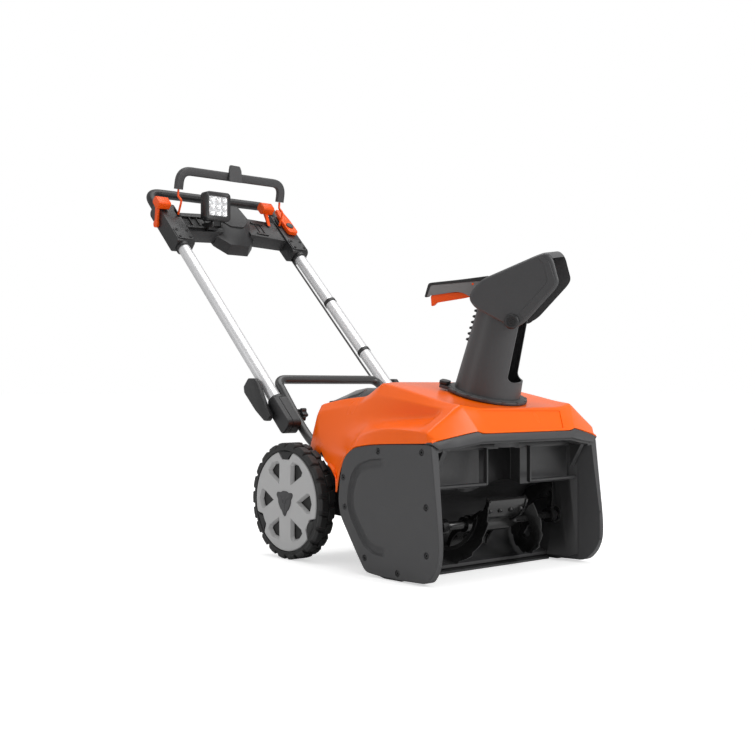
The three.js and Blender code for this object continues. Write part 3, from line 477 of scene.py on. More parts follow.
# ---------------------------------------------------------------- wheels
WHEEL_R = WHEEL_Z / MM
WHEEL_IN, WHEEL_OUT = (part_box("wheel_left")[k].x / MM for k in (0, 1))
COVER_R = WHEEL_R - 21.1


def wheel_point(radius, angle, x):
    return (x, WHEEL_Y / MM + radius * math.cos(angle), WHEEL_Z / MM + radius * math.sin(angle))


def build_wheel(label, side):
    body = f"wheel_{label}"
    centre = (WHEEL_Y / MM, WHEEL_Z / MM)
    tyre = revolve([(8.4, WHEEL_IN + 8), (112, WHEEL_IN + 9), (121, WHEEL_IN + 1), (135, WHEEL_IN + 1),
                    (140.5, WHEEL_IN + 7), (141, WHEEL_OUT - 14), (138, WHEEL_OUT - 5),
                    (134, WHEEL_OUT - 1.5),
                    (127, WHEEL_OUT), (125.6, WHEEL_OUT - 3), (125.2, WHEEL_OUT - 11),
                    (8.4, WHEEL_OUT - 12)],
                   centre, 96)
    lugs = bmesh.new()
    count = 22
    for k in range(count):
        for x0, x1, phase in ((WHEEL_OUT - 23, WHEEL_OUT - 0.6, 0.0),
                              (WHEEL_IN + 1, WHEEL_IN + 23, 0.5)):
            outer = phase == 0
            edge, inboard = (x1, x0) if outer else (x0, x1)
            shoulder = edge - 4 if outer else edge + 4
            middle = (k + phase) * math.tau / count
            rings = []
            for reach, drop in ((-0.108, 3.2), (-0.09, 0.2), (0.0, 0.0), (0.09, 0.2), (0.108, 3.2)):
                a = middle + reach
                rings.append([wheel_point(WHEEL_R - drop, a, shoulder),
                              wheel_point(WHEEL_R - drop, a + 0.03, inboard),
                              wheel_point(132, a + 0.03, inboard),
                              wheel_point(129, a, edge - (1 if outer else -1)),
                              wheel_point(WHEEL_R - 7 - drop, a, edge)])
            merge(lugs, loft(rings))
    bmesh.ops.recalc_face_normals(lugs, faces=lugs.faces)
    merge(tyre, lugs)
    # Rubber lobes that fill the three notches of the cover.
    for k in range(3):
        angle = math.pi / 2 + k * math.tau / 3
        lobe = []
        for x, grow in ((WHEEL_OUT - 11, 0), (WHEEL_OUT - 2.5, 0), (WHEEL_OUT - 1, -2.5)):
            lobe.append([wheel_point(r + grow, angle + a, x) for r, a in
                         ((128, -0.25), (118, -0.16), (110, -0.12), (106, -0.06), (105, 0), (106, 0.06),
                          (110, 0.12), (118, 0.16), (128, 0.25))])
        merge(tyre, loft(lobe))
    piece(f"tyre_{label}", mirror(tyre, side), body, "wheel_black", replaces=[f"wheel_{label}"],
          smooth=32,
          bevel=0.9, segments=2)

    rim = []
    steps = 180
    for i in range(steps):
        angle = math.tau * i / steps
        offset = min(abs((angle - math.pi / 2 - k * math.tau / 3 + math.pi) % math.tau - math.pi) for k in range(3))
        dip = max(0.0, min(1.0, (0.26 - offset) / 0.13))
        rim.append((COVER_R - 20 * dip * dip * (3 - 2 * dip), angle))
    def at(scale, x):
        return [wheel_point(r * scale, a, x) for r, a in rim]
    disc = loft([at(1, WHEEL_OUT - 9.4), at(1, WHEEL_OUT - 2.6), at(0.985, WHEEL_OUT - 0.6),
                 at(0.93, WHEEL_OUT + 0.2),
                 at(0.6, WHEEL_OUT + 1.0)])
    cover = piece(f"cover_{label}", mirror(disc, side), body, "silver_cover",
                  replaces=[f"wheel_cover_{label}"], smooth=30)
    for k in range(6):
        # Six windows of one shape, wider towards the rim.
        angle = math.pi / 6 + k * math.tau / 6 - math.pi / 6
        shape = [(50, 0.0), (92, -0.25), (101, -0.22), (106, 0.0), (101, 0.22), (92, 0.25)]
        rings = []
        for x, grow in ((WHEEL_OUT - 20, -6), (WHEEL_OUT - 7.5, -3.5), (WHEEL_OUT + 2, 4.0)):
            cx, cy = 82 * math.cos(angle), 82 * math.sin(angle)
            ring = []
            for r, a in shape:
                px, py = r * math.cos(angle + a), r * math.sin(angle + a)
                dx, dy = px - cx, py - cy
                scale = 1 + grow / max(12.0, math.hypot(dx, dy))
                ring.append((x, centre[0] + cx + dx * scale, centre[1] + cy + dy * scale))
            rings.append(ring)
        carve(cover, (mirror(loft(rings), side), BODY))
    shade(cover, 24)
    round_edges(cover, 1.0, 2, 30)
    cover.modifiers.new("normals", "WEIGHTED_NORMAL").keep_sharp = True

    cap = []
    for x, scale in ((WHEEL_OUT - 9.4, 1.0), (WHEEL_OUT + 0.6, 1.0), (WHEEL_OUT + 3.4, 0.93),
                     (WHEEL_OUT + 4.4, 0.8)):
        ring = []
        for i in range(72):
            angle = math.tau * i / 72
            lobe = max(0.0, math.cos(3 * (angle + math.pi / 2))) ** 3
            r = 27.0 + 11.5 * lobe - 1.4 * max(0.0, -math.cos(3 * (angle + math.pi / 2))) ** 2
            ring.append(wheel_point(r * scale, angle, x))
        cap.append(ring)
    hub = loft(cap)
    for k in range(3):
        angle = -math.pi / 2 + k * math.tau / 3
        rib = [wheel_point(r, angle + a, x) for r, a, x in ((9, 0.35, WHEEL_OUT + 5.6),
                                                (32, 0.07, WHEEL_OUT + 5.0),
               (32, -0.07, WHEEL_OUT + 5.0), (9, -0.35, WHEEL_OUT + 5.6))]
        base = [wheel_point(r, angle + a, WHEEL_OUT + 2) for r, a in ((9, 0.45), (34, 0.12), (34, -0.12),
                                                (9, -0.45))]
        merge(hub, loft([base, rib]))
    merge(hub, revolve([(0.05, WHEEL_OUT), (9, WHEEL_OUT), (9, WHEEL_OUT + 4.8), (7.6, WHEEL_OUT + 6),
                        (4.6, WHEEL_OUT + 6),
                        (4.2, WHEEL_OUT + 4.6), (0.05, WHEEL_OUT + 4.6)], centre, 32))
    piece(f"hub_trim_{label}", mirror(hub, side), body, "dark_grey_plastic",
          replaces=[f"hub_cap_{label}"],
          smooth=40, bevel=0.8, segments=2)


for label, side in SIDES:
    build_side_plate(label, side)
    build_wheel(label, side)


# ---------------------------------------------------------------- hood
# Rows run from the front edge over the top to the rear; each lists one half, centre line to side.
HOOD_ROWS = [
    [(0, -152, 329), (120, -152, 329), (151, -152, 329), (163, -149, 334), (190, -144, 330),
     (226, -136, 323),
     (262, -127, 316), (279, -122, 313)],
    [(0, -129, 382), (118, -129, 382), (141, -128, 383), (186, -116, 391), (199, -114, 384),
     (222, -112, 369),
     (282, -109, 331), (280, -106, 309)],
    [(0, -92, 390), (118, -92, 390), (141, -92, 390), (187, -84, 395), (205, -84, 384), (222, -86, 369),
     (282, -88, 333), (280, -86, 308)],
    [(0, -66, 396), (118, -66, 396), (140, -66, 396), (187, -60, 399), (205, -62, 384), (207, -60, 362),
     (280, -62, 335), (280, -60, 307)],
    [(0, 10, 416), (118, 10, 416), (138, 10, 416), (186, 14, 414), (203, 14, 393), (204, 14, 356),
     (276, 10, 338), (280, 10, 304)],
    [(0, 80, 432), (118, 80, 432), (134, 82, 432), (178, 86, 428), (198, 86, 402), (204, 86, 356),
     (271, 76, 334), (280, 78, 301)],
    [(0, 165, 443), (110, 165, 443), (130, 166, 443), (163, 168, 440), (184, 170, 410), (206, 165, 350),
     (264, 140, 316), (280, 137, 293)],
    [(0, 222, 412), (110, 222, 412), (130, 223, 410), (163, 228, 407), (186, 228, 388), (208, 225, 340),
     (264, 185, 272), (280, 179, 263)],
    [(0, 320, 402), (110, 320, 402), (130, 320, 402), (165, 318, 401), (184, 314, 378), (206, 300, 325),
     (258, 212, 238), (280, 196, 226)],
    [(0, 412, 386), (110, 410, 386), (130, 408, 386), (170, 396, 386), (188, 388, 366), (202, 376, 320),
     (254, 224, 205), (280, 204, 184)],
    [(0, 438, 300), (110, 436, 300), (130, 434, 300), (176, 424, 300), (190, 414, 292), (203, 402, 276),
     (246, 250, 236), (272, 212, 186)],
    [(0, 428, 272), (110, 427, 272), (130, 426, 272), (176, 418, 272), (188, 410, 272), (200, 400, 272),
     (240, 254, 232), (266, 214, 188)],
]
# How sharp each lengthwise and each crosswise line of the shell is.
COLUMN_CREASE = [0, 0, 0, 0.85, 0.72, 0.35, 0.6, 1]
ROW_CREASE = [1, 0.8, 0.45, 0.35, 0, 0, 0.62, 0.45, 0.1, 0.62, 0.3, 1]


def build_hood():
    shell = bmesh.new()
    crease = shell.edges.layers.float.new("crease_edge")
    grid = []
    for row in HOOD_ROWS:
        half = [shell.verts.new(p) for p in row]
        other = [shell.verts.new((-x, y, z)) for x, y, z in row[1:]]
        grid.append(other[::-1] + half)
    columns = len(grid[0])
    for a, b in zip(grid, grid[1:]):
        for c in range(columns - 1):
            shell.faces.new((a[c], a[c + 1], b[c + 1], b[c]))
    for r, row in enumerate(grid):
        for c in range(columns):
            rank = abs(c - 7)
            if r + 1 < len(grid):
                shell.edges.get((row[c], grid[r + 1][c]))[crease] = COLUMN_CREASE[rank]
            if c + 1 < columns:
                shell.edges.get((row[c], row[c + 1]))[crease] = ROW_CREASE[r]
    hood = piece("hood_shell", shell, "body", "orange_hood", replaces=["hood"], smooth=60)
    smooth = hood.modifiers.new("smooth", "SUBSURF")
    smooth.levels = smooth.render_levels = 3
    smooth.boundary_smooth = "PRESERVE_CORNERS"
    bake(hood)
    thick = hood.modifiers.new("wall", "SOLIDIFY")
    thick.thickness = 4 * MM
    thick.offset = -1
    bake(hood)
    ring = outline_prism(circle(97.5, 96), "Z", -1.5, 60)
    hole = outline_prism(circle(86, 96), "Z", -70, 20)
    bay = outline_prism(rounded([(-149, 233), (149, 233), (149, 394), (-149, 394)], 24), "Z", 330, 480)
    carve(hood, (ring, COLLAR), (hole, COLLAR), (bay, BODY))
    for side in (-1, 1):
        slot = mirror(outline_prism([(160, 380), (194, 380), (194, 460), (160, 460)], "Z", 255, 308),
                      side)
        carve(hood, (slot, BODY))
    arch = outline_prism(circle(WHEEL_R + 6, 72, WHEEL_Y / MM, WHEEL_R), "X", WHEEL_IN - 5,
                         HALF_WIDTH + 20)
    carve(hood, (arch.copy(), BODY), (mirror(arch, -1), BODY))
    # Label field: a shallow inset panel on the front face, left blank.
    face = [(-111, 333), (122, 333), (130, 374), (-150, 378)]
    bottom = [(x, -151.5 + (z - 329) * 23 / 53 + 1.4, z) for x, z in rounded(face, 3, 3)]
    outside = [(x, y - 12, z + 5) for x, y, z in bottom]
    carve(hood, (loft([bottom, outside]), BODY))
    shade(hood, 38)
    round_edges(hood, 1.1, 2, 40)
    hood.modifiers.new("normals", "WEIGHTED_NORMAL").keep_sharp = True
    return hood


build_hood()


# ---------------------------------------------------------------- discharge chute
TUBE = {"base": 79, "top": 65, "wall": 4, "lean": 6, "height": 236}
RIM = 96
PIVOT = (-42, 193)
DEFLECTOR_HALF = 77
DEFLECTOR_SIDE = [(-26, 182), (52, 205), (70, 224), (63, 249), (46, 273), (-67, 350), (-88, 362),
                  (-106, 350),
                  (-130, 301), (-126, 286), (-72, 196), (-54, 180), (-42, 175)]
DEFLECTOR_ROUND = [10, 22, 16, 14, 30, 30, 12, 14, 12, 14, 14, 8, 8]
DEFLECTOR_SPACE = [(-20, 150), (60, 190), (64, 224), (57, 246), (43, 267), (-68, 343), (-100, 352),
                   (-180, 330),
                   (-170, 270), (-80, 150)]


def tube_ring(height, extra, count=96):
    part = height / 200
    radius = TUBE["base"] + (TUBE["top"] - TUBE["base"]) * part + extra
    return [(radius * math.cos(math.tau * i / count),
             radius * math.sin(math.tau * i / count) - TUBE["lean"] * part,
             height) for i in range(count)]


def build_chute():
    outer = loft([tube_ring(0, 0), tube_ring(TUBE["height"], 0)])
    tube = piece("chute_pipe", outer, "chute", "dark_grey_plastic", CHUTE_GREY, CHUTE,
                 replaces=["chute_tube"])
    bore = loft([tube_ring(-12, -TUBE["wall"]), tube_ring(TUBE["height"] + 20, -TUBE["wall"])])
    mouth = outline_prism(rounded([(-52, 58), (-52, 320), (-200, 320), (-200, 50), (-60, 50)],
                                  [14, 1, 1, 1, 14], 6),
                          "X", -120, 120)
    slant = outline_prism([(-200, 222), (-30, 226), (120, 238), (120, 400), (-200, 400)], "X", -130, 130)
    carve(tube, (bore, CHUTE), (mouth, CHUTE), (slant, CHUTE))
    shade(tube, 35)
    round_edges(tube, 1.2, 2, 40)
    tube.modifiers.new("normals", "WEIGHTED_NORMAL").keep_sharp = True

    # Turning flange: a stepped disc with a latch lug and shallow finger notches.
    flange = loft([[(r * c, r * s, h) for c, s in circle(1, 96)] for r, h in
                   ((75.5, 0), (RIM - 1, 0), (RIM, 1.2), (RIM, 5.6), (RIM - 1.5, 7.2), (RIM - 8, 7.6),
                    (RIM - 9, 9),
                    (RIM - 14, 9), (75.5, 9))], closed_ends=False)
    rows = [v for v in flange.verts]
    first, last = rows[:96], rows[-96:]
    for i in range(96):
        flange.faces.new((last[i], last[(i + 1) % 96], first[(i + 1) % 96], first[i]))
    merge(flange, outline_prism(rounded([(-50, 74), (-10, 74), (-12, 108), (-46, 108)], 10, 4), "Z", 0.6,
                                8.4))
    for k in range(14):
        a = math.tau * (k + 0.5) / 14
        rib = [((RIM - 10) * math.cos(a - 0.05), (RIM - 10) * math.sin(a - 0.05)),
               ((RIM + 0.8) * math.cos(a - 0.05), (RIM + 0.8) * math.sin(a - 0.05)),
               ((RIM + 0.8) * math.cos(a + 0.05), (RIM + 0.8) * math.sin(a + 0.05)),
               ((RIM - 10) * math.cos(a + 0.05), (RIM - 10) * math.sin(a + 0.05))]
        merge(flange, outline_prism(rib, "Z", 2.0, 8.2))
    piece("chute_flange", flange, "chute", "dark_grey_plastic", GREY, CHUTE, bevel=0.7)

    # Detent teeth up the back of the tube.
    teeth = bmesh.new()
    for k in range(6):
        height = 118 + k * 14
        y = tube_ring(height, 0)[24][1]
        merge(teeth, outline_prism(rounded([(y - 3, height), (y + 5, height + 1.5), (y + 5, height + 6),
                                            (y - 3, height + 8)],
                                           1.5, 3), "X", -11, 11))
    piece("detent_teeth", teeth, "chute", "black_plastic", BLACK, CHUTE, bevel=0.6)


def build_deflector():
    shape = rounded(DEFLECTOR_SIDE, DEFLECTOR_ROUND, 6)
    shell = piece("deflector_shell", outline_prism(shape, "X", -DEFLECTOR_HALF, DEFLECTOR_HALF),
                  "deflector",
                  "dark_grey_plastic", CHUTE_GREY, CHUTE, replaces=["deflector"], bevel=9, segments=5)
    space = outline_prism(rounded(DEFLECTOR_SPACE, 12, 5), "X", -DEFLECTOR_HALF + 5, DEFLECTOR_HALF - 5)
    carve(shell, (space, CHUTE))
    shade(shell, 30)
    round_edges(shell, 0.9, 2, 45)
    shell.modifiers.new("normals", "WEIGHTED_NORMAL").keep_sharp = True
    # Raised border along the mouth on both cheeks.
    band = rounded([(-80, 350), (-99, 341), (-122, 299), (-119, 288), (-68, 204), (-54, 214),
                    (-101, 290), (-103, 300),
                    (-86, 336), (-72, 344)], 5, 4)
    border = bmesh.new()
    for side in (-1, 1):
        merge(border, mirror(outline_prism(band, "X", DEFLECTOR_HALF - 2, DEFLECTOR_HALF + 1.3), side))
    piece("mouth_border", border, "deflector", "dark_grey_plastic", CHUTE_GREY, CHUTE, bevel=1.1,
          segments=3)
    for label, side in SIDES:
        inner, face = DEFLECTOR_HALF + 0.4, DEFLECTOR_HALF + 8
        head = revolve([(0.05, inner - 7), (6.4, inner - 7), (6.4, inner), (17.2, inner),
                        (17.2, inner + 4), (14.6, face - 1.2),
                        (12.2, face), (10.2, face), (9.6, face - 1.8), (6.6, face - 1.8),
                        (6.2, face - 0.4), (4.2, face - 0.4),
                        (3.8, face - 3), (0.05, face - 3)], PIVOT, 48)
        piece(f"pivot_screw_{label}", mirror(head, side), "deflector", "black_plastic", BLACK, CHUTE,
              replaces=[f"pivot_bolt_{label}"], smooth=40, bevel=0.5)

    grip_side = [(189, 200), (184, 231), (120, 250), (70, 266), (62, 262), (69, 226), (74, 219),
                 (99, 227), (116, 226)]
    panel = rounded(grip_side, [3, 5, 60, 12, 4, 4, 6, 8, 12], 4)
    grip = piece("grip_shell", outline_prism(panel, "X", -12.6, 12.6), "deflector", "grip_grey", GRIP,
                 CHUTE,
                 replaces=["chute_grip"], bevel=1.6, segments=3)
    groove = outline_prism([(188, 190), (176, 221), (110, 235), (82, 231), (68, 219), (120, 180)], "X",
                           -8.6, 8.6)
    carve(grip, (groove, CHUTE))
    shade(grip, 32)
    grip.modifiers.new("normals", "WEIGHTED_NORMAL").keep_sharp = True
    cap = rounded([(190, 199), (186.5, 233), (121, 253), (70, 270), (50, 277), (58, 262), (66, 262),
                   (118, 246.5),
                   (180, 228.5), (184.5, 198)], [2, 6, 60, 14, 6, 4, 10, 60, 5, 2], 4)
    piece("grip_back", outline_prism(cap, "X", -13.8, 13.8), "deflector", "black_plastic", BLACK, CHUTE,
          bevel=2.2, segments=3)
    pin = bmesh.new()
    for side in (-1, 1):
        merge(pin, mirror(revolve([(0.05, 10), (2.6, 10), (2.6, 13.2), (0.05, 13.2)], (80, 252), 20),
                          side))
    piece("grip_pin", pin, "deflector", "orange_trim", TRIM, CHUTE)
    rack = bmesh.new()
    for k in range(1, 4):
        z = 218 + k * 10
        merge(rack, outline_prism([(60, z), (74 - k * 1.5, z + 2), (74 - k * 1.5, z + 6.5), (60, z + 8)],
                                  "X", -11.5, 11.5))
    piece("grip_rack", rack, "deflector", "black_plastic", BLACK, CHUTE, bevel=0.8)


build_chute()
build_deflector()


# ---------------------------------------------------------------- handle
# Handle space: x, then u along the tubes, then w square to them.
def bar(name, points, bend, section, body, slot, material, space, replaced, **options):
    path = bent_path([Vector(p) for p in points], bend, 10)
    return piece(name, sweep(path, section, options.pop("across", Vector((0, 0, 1)))), body, slot,
                 material, space,
                 replaces=replaced, **options)


def mirrored_line(points):
    return [(-x, y, z) for x, y, z in points] + [(x, y, z) for x, y, z in reversed(points)]


def build_handle():
    leg = [(177, 335, 247), (177, 425, 288), (177, 474, 332), (177, 580, 450)]
    bar("lower_bar", mirrored_line(leg), 30, circle(12, 24), "body", "black_steel", COAT_STEEL, BODY,
        ["lower_handle_bar"], across=Vector((0, 0.6, 1)).normalized())
    bar("grip_loop", mirrored_line([(222, 874, 0), (226, 945, 4)]), 46, circle(14, 28), "handle",
        "black_plastic", BLACK,
        HANDLE, ["handlebar"])
    flat = rounded([(-13, -8), (13, -8), (13, 8), (-13, 8)], 5, 3)
    rail = mirrored_line([(185, 1062, 1017), (185, 1050, 1072)])
    bar("bail_rail", rail, 36, flat, "bail", "dark_grey_plastic", GREY, BODY, ["bail"],
        across=Vector((0, 1, 0.2)).normalized())
    tab = rounded([(-24, 1056), (24, 1056), (21, 1092), (15, 1105), (-19, 1106), (-22, 1092)], 4, 4)
    piece("bail_tab", outline_prism(tab, "Y", 1033, 1041), "bail", "dark_grey_plastic", GREY, BODY,
          bevel=1.4)

    for label, side in SIDES:
        tube = loft([[(211 + 17.5 * c, u, 17.5 * s) for c, s in circle(1, 48)] for u in (20, 712)])
        piece(f"tube_{label}", mirror(tube, side), "handle", "tube_aluminium", ALUMINIUM, HANDLE,
              replaces=[f"handle_tube_{label}"])
        for u in (250, 470) if side > 0 else ():
            strap = loft([[(211 + r * c, u + du, r * s) for c, s in circle(1, 48)] for r, du in
                          ((17.6, -6), (19.2, -5.4), (19.2, 5.4), (17.6, 6))])
            piece(f"cable_strap_{u}", mirror(strap, side), "handle", "black_plastic", BLACK, HANDLE)

    # Console: shield plate, grooved arms, end block trims.
    shield = rounded([(-24, 768), (24, 768), (50, 792), (58, 822), (50, 876), (-50, 876), (-58, 822),
                      (-50, 792)], 7, 4)
    piece("shield_plate", outline_prism(shield, "Z", 30, 38), "handle", "black_plastic", BLACK, HANDLE,
          bevel=2.2, segments=3)
    for label, side in SIDES:
        arm = bmesh.new()
        for u0, u1 in ((760, 768), (812, 820)):
            end = 176 if label == "right" else 118
            merge(arm, outline_prism([(78, u0), (end, u0 - 4), (end, u1 - 4), (78, u1)], "Z", 18, 26.5))
        for x in (96, 122, 148) if label == "right" else (90, 108):
            merge(arm, outline_prism([(x, 766), (x + 3, 766), (x + 3, 814), (x, 814)], "Z", 18, 25.4))
        piece(f"arm_ribs_{label}", mirror(arm, side), "handle", "black_plastic", BLACK, HANDLE,
              bevel=0.9)
        trim = bmesh.new()
        merge(trim, outline_prism(rounded([(181, 694), (234, 694), (234, 744), (181, 744)], 8, 4), "Z",
                                  22, 28.2))
        for x, u in ((190, 704), (225, 704), (190, 734), (225, 734)):
            merge(trim, loft([[(x + r * c, u + r * s, w) for c, s in circle(1, 20)] for r, w in
                              ((4.4, 26), (4.4, 30), (3.6, 30.8), (2.1, 30.8), (1.9, 28.6))]))
        piece(f"end_trim_{label}", mirror(trim, side), "handle", "black_plastic", BLACK, HANDLE,
              bevel=0.8)

    # Sleeve mouth where each tube enters the console and the clamp block.
    for label, side in SIDES:
        for u0, u1 in ((680, 690), (44, 54)):
            collar = loft([[(211 + r * c, u, r * s) for c, s in circle(1, 48)] for r, u in
                           ((17.7, u0), (21.5, u0), (22.6, u0 + 1.5), (22.6, u1), (17.7, u1))],
                           closed_ends=False)
            ends = [v for v in collar.verts]
            for i in range(48):
                collar.faces.new((ends[-48 + i], ends[-48 + (i + 1) % 48], ends[(i + 1) % 48], ends[i]))
            piece(f"sleeve_{label}_{u0}", mirror(collar, side), "handle", "black_plastic", BLACK, HANDLE)

    # Clamp block: two shells with a parting groove, the bore for the tube and three ribs.
    for label, side in SIDES:
        block = outline_prism(rounded([(-52, -23), (50, -23), (50, 22), (-52, 22)], [14, 10, 10, 16], 5),
                              "X", 191, 235)
        body = piece(f"clamp_{label}", mirror(block, side), "handle", "black_plastic", BLACK, HANDLE,
                     replaces=[f"clamp_block_{label}"], bevel=3.4, segments=3)
        seam = outline_prism([(-60, -24), (60, -24), (60, 24), (-60, 24)], "X", 217.4, 219.2)
        core = outline_prism(rounded([(-49, -20), (60, -20), (60, 19), (-49, 19)], 8, 3), "X", 190, 236)
        bore = loft([[(211 + 17.9 * c, u, 17.9 * s) for c, s in circle(1, 48)] for u in (18, 100)])
        ring = piece(f"seam_tool_{label}", seam, "handle", "black_plastic", BLACK, HANDLE)
        carve(ring, (core, HANDLE))
        carve_with(body, ring, side)
        carve(body, (mirror(bore, side), HANDLE))
        shade(body, 32)
        body.modifiers.new("normals", "WEIGHTED_NORMAL").keep_sharp = True
        rib = bmesh.new()
        for u in (-34, -22, -10):
            merge(rib, outline_prism([(196, u), (230, u), (230, u + 4), (196, u + 4)], "Z", -24.5, -20))
        piece(f"clamp_ribs_{label}", mirror(rib, side), "handle", "black_plastic", BLACK, HANDLE,
              bevel=0.8)

    # Work light: a bezel, cooling ribs and nine lamp cells behind the lens.
    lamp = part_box("light_housing")
    low, high = lamp[0] / MM, lamp[1] / MM
    mid_x, top = (low.x + high.x) / 2, high.z
    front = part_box("light_lens")[0].y / MM
    bezel = outline_prism(rounded([(mid_x - 42, top - 84), (mid_x + 42, top - 84), (mid_x + 42, top - 2),
                                   (mid_x - 42, top - 2)], 11, 4),
                          "Y", front - 3.6, front + 3)
    frame_piece = piece("light_bezel", bezel, "light", "black_plastic", BLACK, Matrix.Identity(4),
                        bevel=1.4)
    window = outline_prism(rounded([(mid_x - 33, top - 73), (mid_x + 33, top - 73),
                                    (mid_x + 33, top - 13), (mid_x - 33, top - 13)], 4, 3),
                           "Y", front - 6, front + 6)
    carve(frame_piece, (window, Matrix.Identity(4)))
    shade(frame_piece, 35)
    fins = bmesh.new()
    for k in range(7):
        x = mid_x - 33 + k * 11
        merge(fins, outline_prism([(x - 1.6, top - 72), (x + 1.6, top - 72), (x + 1.6, top - 14),
                                   (x - 1.6, top - 14)], "Y",
                                  high.y - 2, high.y + 4))
    piece("light_fins", fins, "light", "black_plastic", BLACK, Matrix.Identity(4), bevel=0.5)
    cells = bmesh.new()
    for i in range(3):
        for j in range(3):
            cx, cz = mid_x - 21 + i * 21, top - 63 + j * 20
            merge(cells, loft([[(cx + r * c, y, cz + r * s) for c, s in circle(1, 24)] for r, y in
                               ((9.4, front - 0.9), (9.4, front - 1.6), (7.8, front - 1.7),
                                (4.4, front - 0.9), (2.2, front - 1.8))]))
    piece("lamp_cells", cells, "light", "lens", LED, Matrix.Identity(4), smooth=30)


def carve_with(target, tool, side):
    """Boolean difference with an object made in place, which is then removed."""
    if side < 0:
        tool.data.transform(FLIP)
        tool.data.flip_normals()
    modifier = target.modifiers.new("cut", "BOOLEAN")
    modifier.operation = "DIFFERENCE"
    modifier.solver = SOLVER
    modifier.object = tool
    bake(target)
    mesh = tool.data
    bpy.data.objects.remove(tool)
    bpy.data.meshes.remove(mesh)


build_handle()


# ---------------------------------------------------------------- rotor
ROTOR = Matrix.Translation(AUGER_AT)


def ribbon(start, end, begin, turns, inner, outer, tooth, steps=72):
    """Helical band about the X axis with a saw-toothed outer edge."""
    rings = []
    for i in range(steps + 1):
        part = i / steps
        angle = begin + part * turns * math.tau
        x = start + part * (end - start)
        bite = tooth * ((i % 6) / 5)
        def at(r, dx):
            return (x + dx, r * math.cos(angle), r * math.sin(angle))
        rings.append([at(inner, -3.0), at(outer - bite - 8, -2.6), at(outer - bite, -1.2),
                      at(outer - bite, 1.2),
                      at(outer - bite - 8, 2.6), at(inner, 3.0)])
    return loft(rings)


def build_rotor():
    for label, side in SIDES:
        flight = ribbon(76, 230, 2.6, 0.85, 50, 88, 5)
        merge(flight, ribbon(84, 222, 2.6 + 0.1, 0.8, 46, 54, 0))
        for angle, x in ((2.6, 72), (2.6 + 0.425 * math.tau, 150), (2.6 + 0.85 * math.tau, 224)):
            arm = outline_prism([(8, -8), (60, -6), (60, 6), (8, 8)], "X", x - 3, x + 3)
            bmesh.ops.rotate(arm, cent=(0, 0, 0), matrix=Matrix.Rotation(angle, 3, "X"), verts=arm.verts)
            merge(flight, arm)
            merge(flight, revolve([(10.3, x - 9), (18, x - 9), (18, x + 9), (10.3, x + 9)], (0, 0), 32))
        piece(f"flight_{label}", mirror(flight, side), "auger", "rubber", RUBBER, ROTOR,
              replaces=[f"auger_flight_{label}"], smooth=32, bevel=0.8)
    paddle = revolve([(10.3, -66), (21, -66), (21, 66), (10.3, 66)], (0, 0), 40)
    for begin in (2.75, 2.75 + math.pi):
        rows = []
        for i in range(13):
            part = i / 12
            angle = begin - 0.35 * part ** 2
            r = 16 + part * 72
            rows.append((r, angle))
        def edge(shift):
            return [(r * math.cos(a) - shift * math.sin(a),
                     r * math.sin(a) + shift * math.cos(a)) for r, a in rows]
        outline = edge(-3.2) + edge(3.2)[::-1]
        merge(paddle, outline_prism(outline, "X", -64, 64))
        for x in (-52, -18, 18, 52):
            r, a = 66, begin - 0.35 * (50 / 72) ** 2
            knob = loft([[(x + q * c, r * math.cos(a) - h * math.sin(a) + q * s * math.cos(a),
                           r * math.sin(a) + h * math.cos(a) + q * s * math.sin(a)) for c, s in circle(1,
                                                16)]
                         for q, h in ((6, -6.5), (6, 6.5))])
            merge(paddle, knob)
        for x0, x1 in ((-66, -60), (60, 66)):
            merge(paddle, outline_prism(edge(-7) + edge(7)[::-1], "X", x0, x1))
    piece("paddle", paddle, "auger", "rubber", RUBBER, ROTOR, replaces=["auger_paddle"], smooth=32,
          bevel=0.8)


build_rotor()


# ---------------------------------------------------------------- front lip under the fascia
def build_lip():
    half = [(0, -152, 311), (151, -152, 311), (163, -150, 309), (215, -139, 301), (262, -128, 296)]
    stations = [(-x, y, z) for x, y, z in half[:0:-1]] + half
    lip = loft([[(x, y + 6, z - 6), (x, -108, z - 9), (x, -108, z + 3),
                 (x, y + 6, z + 2)] for x, y, z in stations])
    piece("intake_lip", lip, "body", "dark_grey_plastic", SHELL, bevel=1.2)
    # Stiffening gussets on the wall over the rotor and round the throat mouth.
    ribs = bmesh.new()
    for side in (-1, 1):
        merge(ribs, mirror(outline_prism([(-84, 292), (-118, 292), (-84, 236)], "X", 226, 240), side))
        merge(ribs, mirror(loft([[(72, -84, 204), (240, -84, 204), (240, -84, 214), (72, -84, 214)],
                                 [(72, -90, 207), (240, -90, 207), (240, -90, 212), (72, -90, 212)]]),
                                 side))
        merge(ribs, mirror(outline_prism([(71, 207), (76, 207), (76, 292), (71, 292)], "Y", -91, -80),
                           side))
    piece("wall_ribs", ribs, "body", "dark_grey_plastic", SHELL, bevel=1.0)


build_lip()


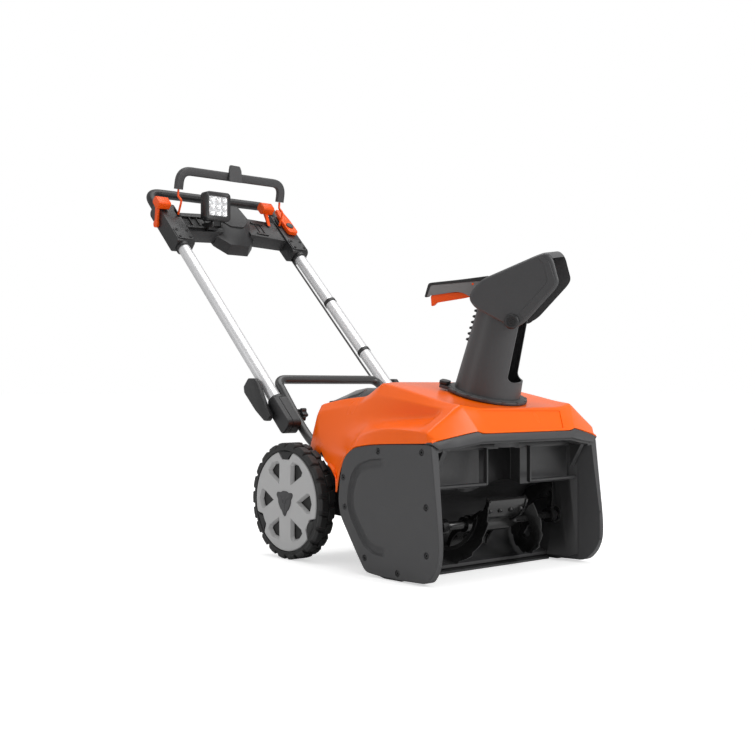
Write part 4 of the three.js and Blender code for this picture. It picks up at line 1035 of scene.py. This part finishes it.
# ---------------------------------------------------------------- CAD nodes that keep their shape
POLISH = {
    "fascia": (GREY, 1.2), "auger_housing": (SHELL, 1.6), "side_plate_left": (GREY, 2.5),
    "side_plate_right": (GREY, 2.5), "scraper_bar": (COAT_STEEL, 0.5), "skid_left": (BLACK, 1.0),
    "skid_right": (BLACK, 1.0), "chassis": (BLACK, 1.5), "wheel_axle": (STEEL, 0.8),
    "wheel_left": (TYRE, 1.2), "wheel_right": (TYRE, 1.2), "wheel_cover_left": (SILVER, 1.2),
    "wheel_cover_right": (SILVER, 1.2), "hub_cap_left": (GREY, 1.2), "hub_cap_right": (GREY, 1.2),
    "auger_shaft": (RUBBER, 0.6), "auger_bearing_left": (STEEL, 0.4),
    "auger_bearing_right": (STEEL, 0.4),
    "auger_paddle": (RUBBER, 0.8), "auger_flight_left": (RUBBER, 0.8),
    "auger_flight_right": (RUBBER, 0.8),
    "auger_pulley": (STEEL, 0.5), "motor_pulley": (STEEL, 0.5), "drive_belt": (RUBBER, 0.3),
    "motor": (STEEL, 1.0), "motor_controller": (BLACK, 1.5), "battery_left": (BLACK, 2.0),
    "battery_right": (BLACK, 2.0), "battery_lid": (SMOKED, 3.0), "hood": (ORANGE, 3.0),
    "lower_handle_bar": (COAT_STEEL, 0.4), "handle_tube_left": (ALUMINIUM, 0.4),
    "handle_tube_right": (ALUMINIUM, 0.4), "clamp_block_left": (BLACK, 2.5),
    "clamp_block_right": (BLACK, 2.5),
    "star_knob_left": (BLACK, 1.2), "star_knob_right": (BLACK, 1.2), "cam_lever_left": (BLACK, 3.0),
    "cam_lever_right": (BLACK, 3.0), "console": (BLACK, 4.0), "handlebar": (BLACK, 0.4),
    "bail": (GREY, 2.0),
    "bail_rod_left": (TRIM, 0.4), "bail_rod_right": (TRIM, 0.4), "light_housing": (BLACK, 2.0),
    "light_lens": (LENS, 1.0), "light_bracket": (BLACK, 0.8), "drive_lever": (TRIM, 2.0),
    "speed_lever": (TRIM, 2.0), "start_lever": (TRIM, 2.5), "start_button": (GREY, 0.8),
    "control_cable": (RUBBER, 0.2), "chute_base": (GREY, 0.8), "chute_tube": (CHUTE_GREY, 1.2),
    "chute_latch": (BLACK, 1.5), "deflector": (CHUTE_GREY, 2.0), "pivot_bolt_left": (BLACK, 1.0),
    "pivot_bolt_right": (BLACK, 1.0), "chute_grip": (GRIP, 2.5), "chute_trigger": (TRIM, 2.0),
}


def finish_cad():
    for name, (material, width) in POLISH.items():
        if not NODES[name].hide_render:
            polish(name, material, width)


finish_cad()
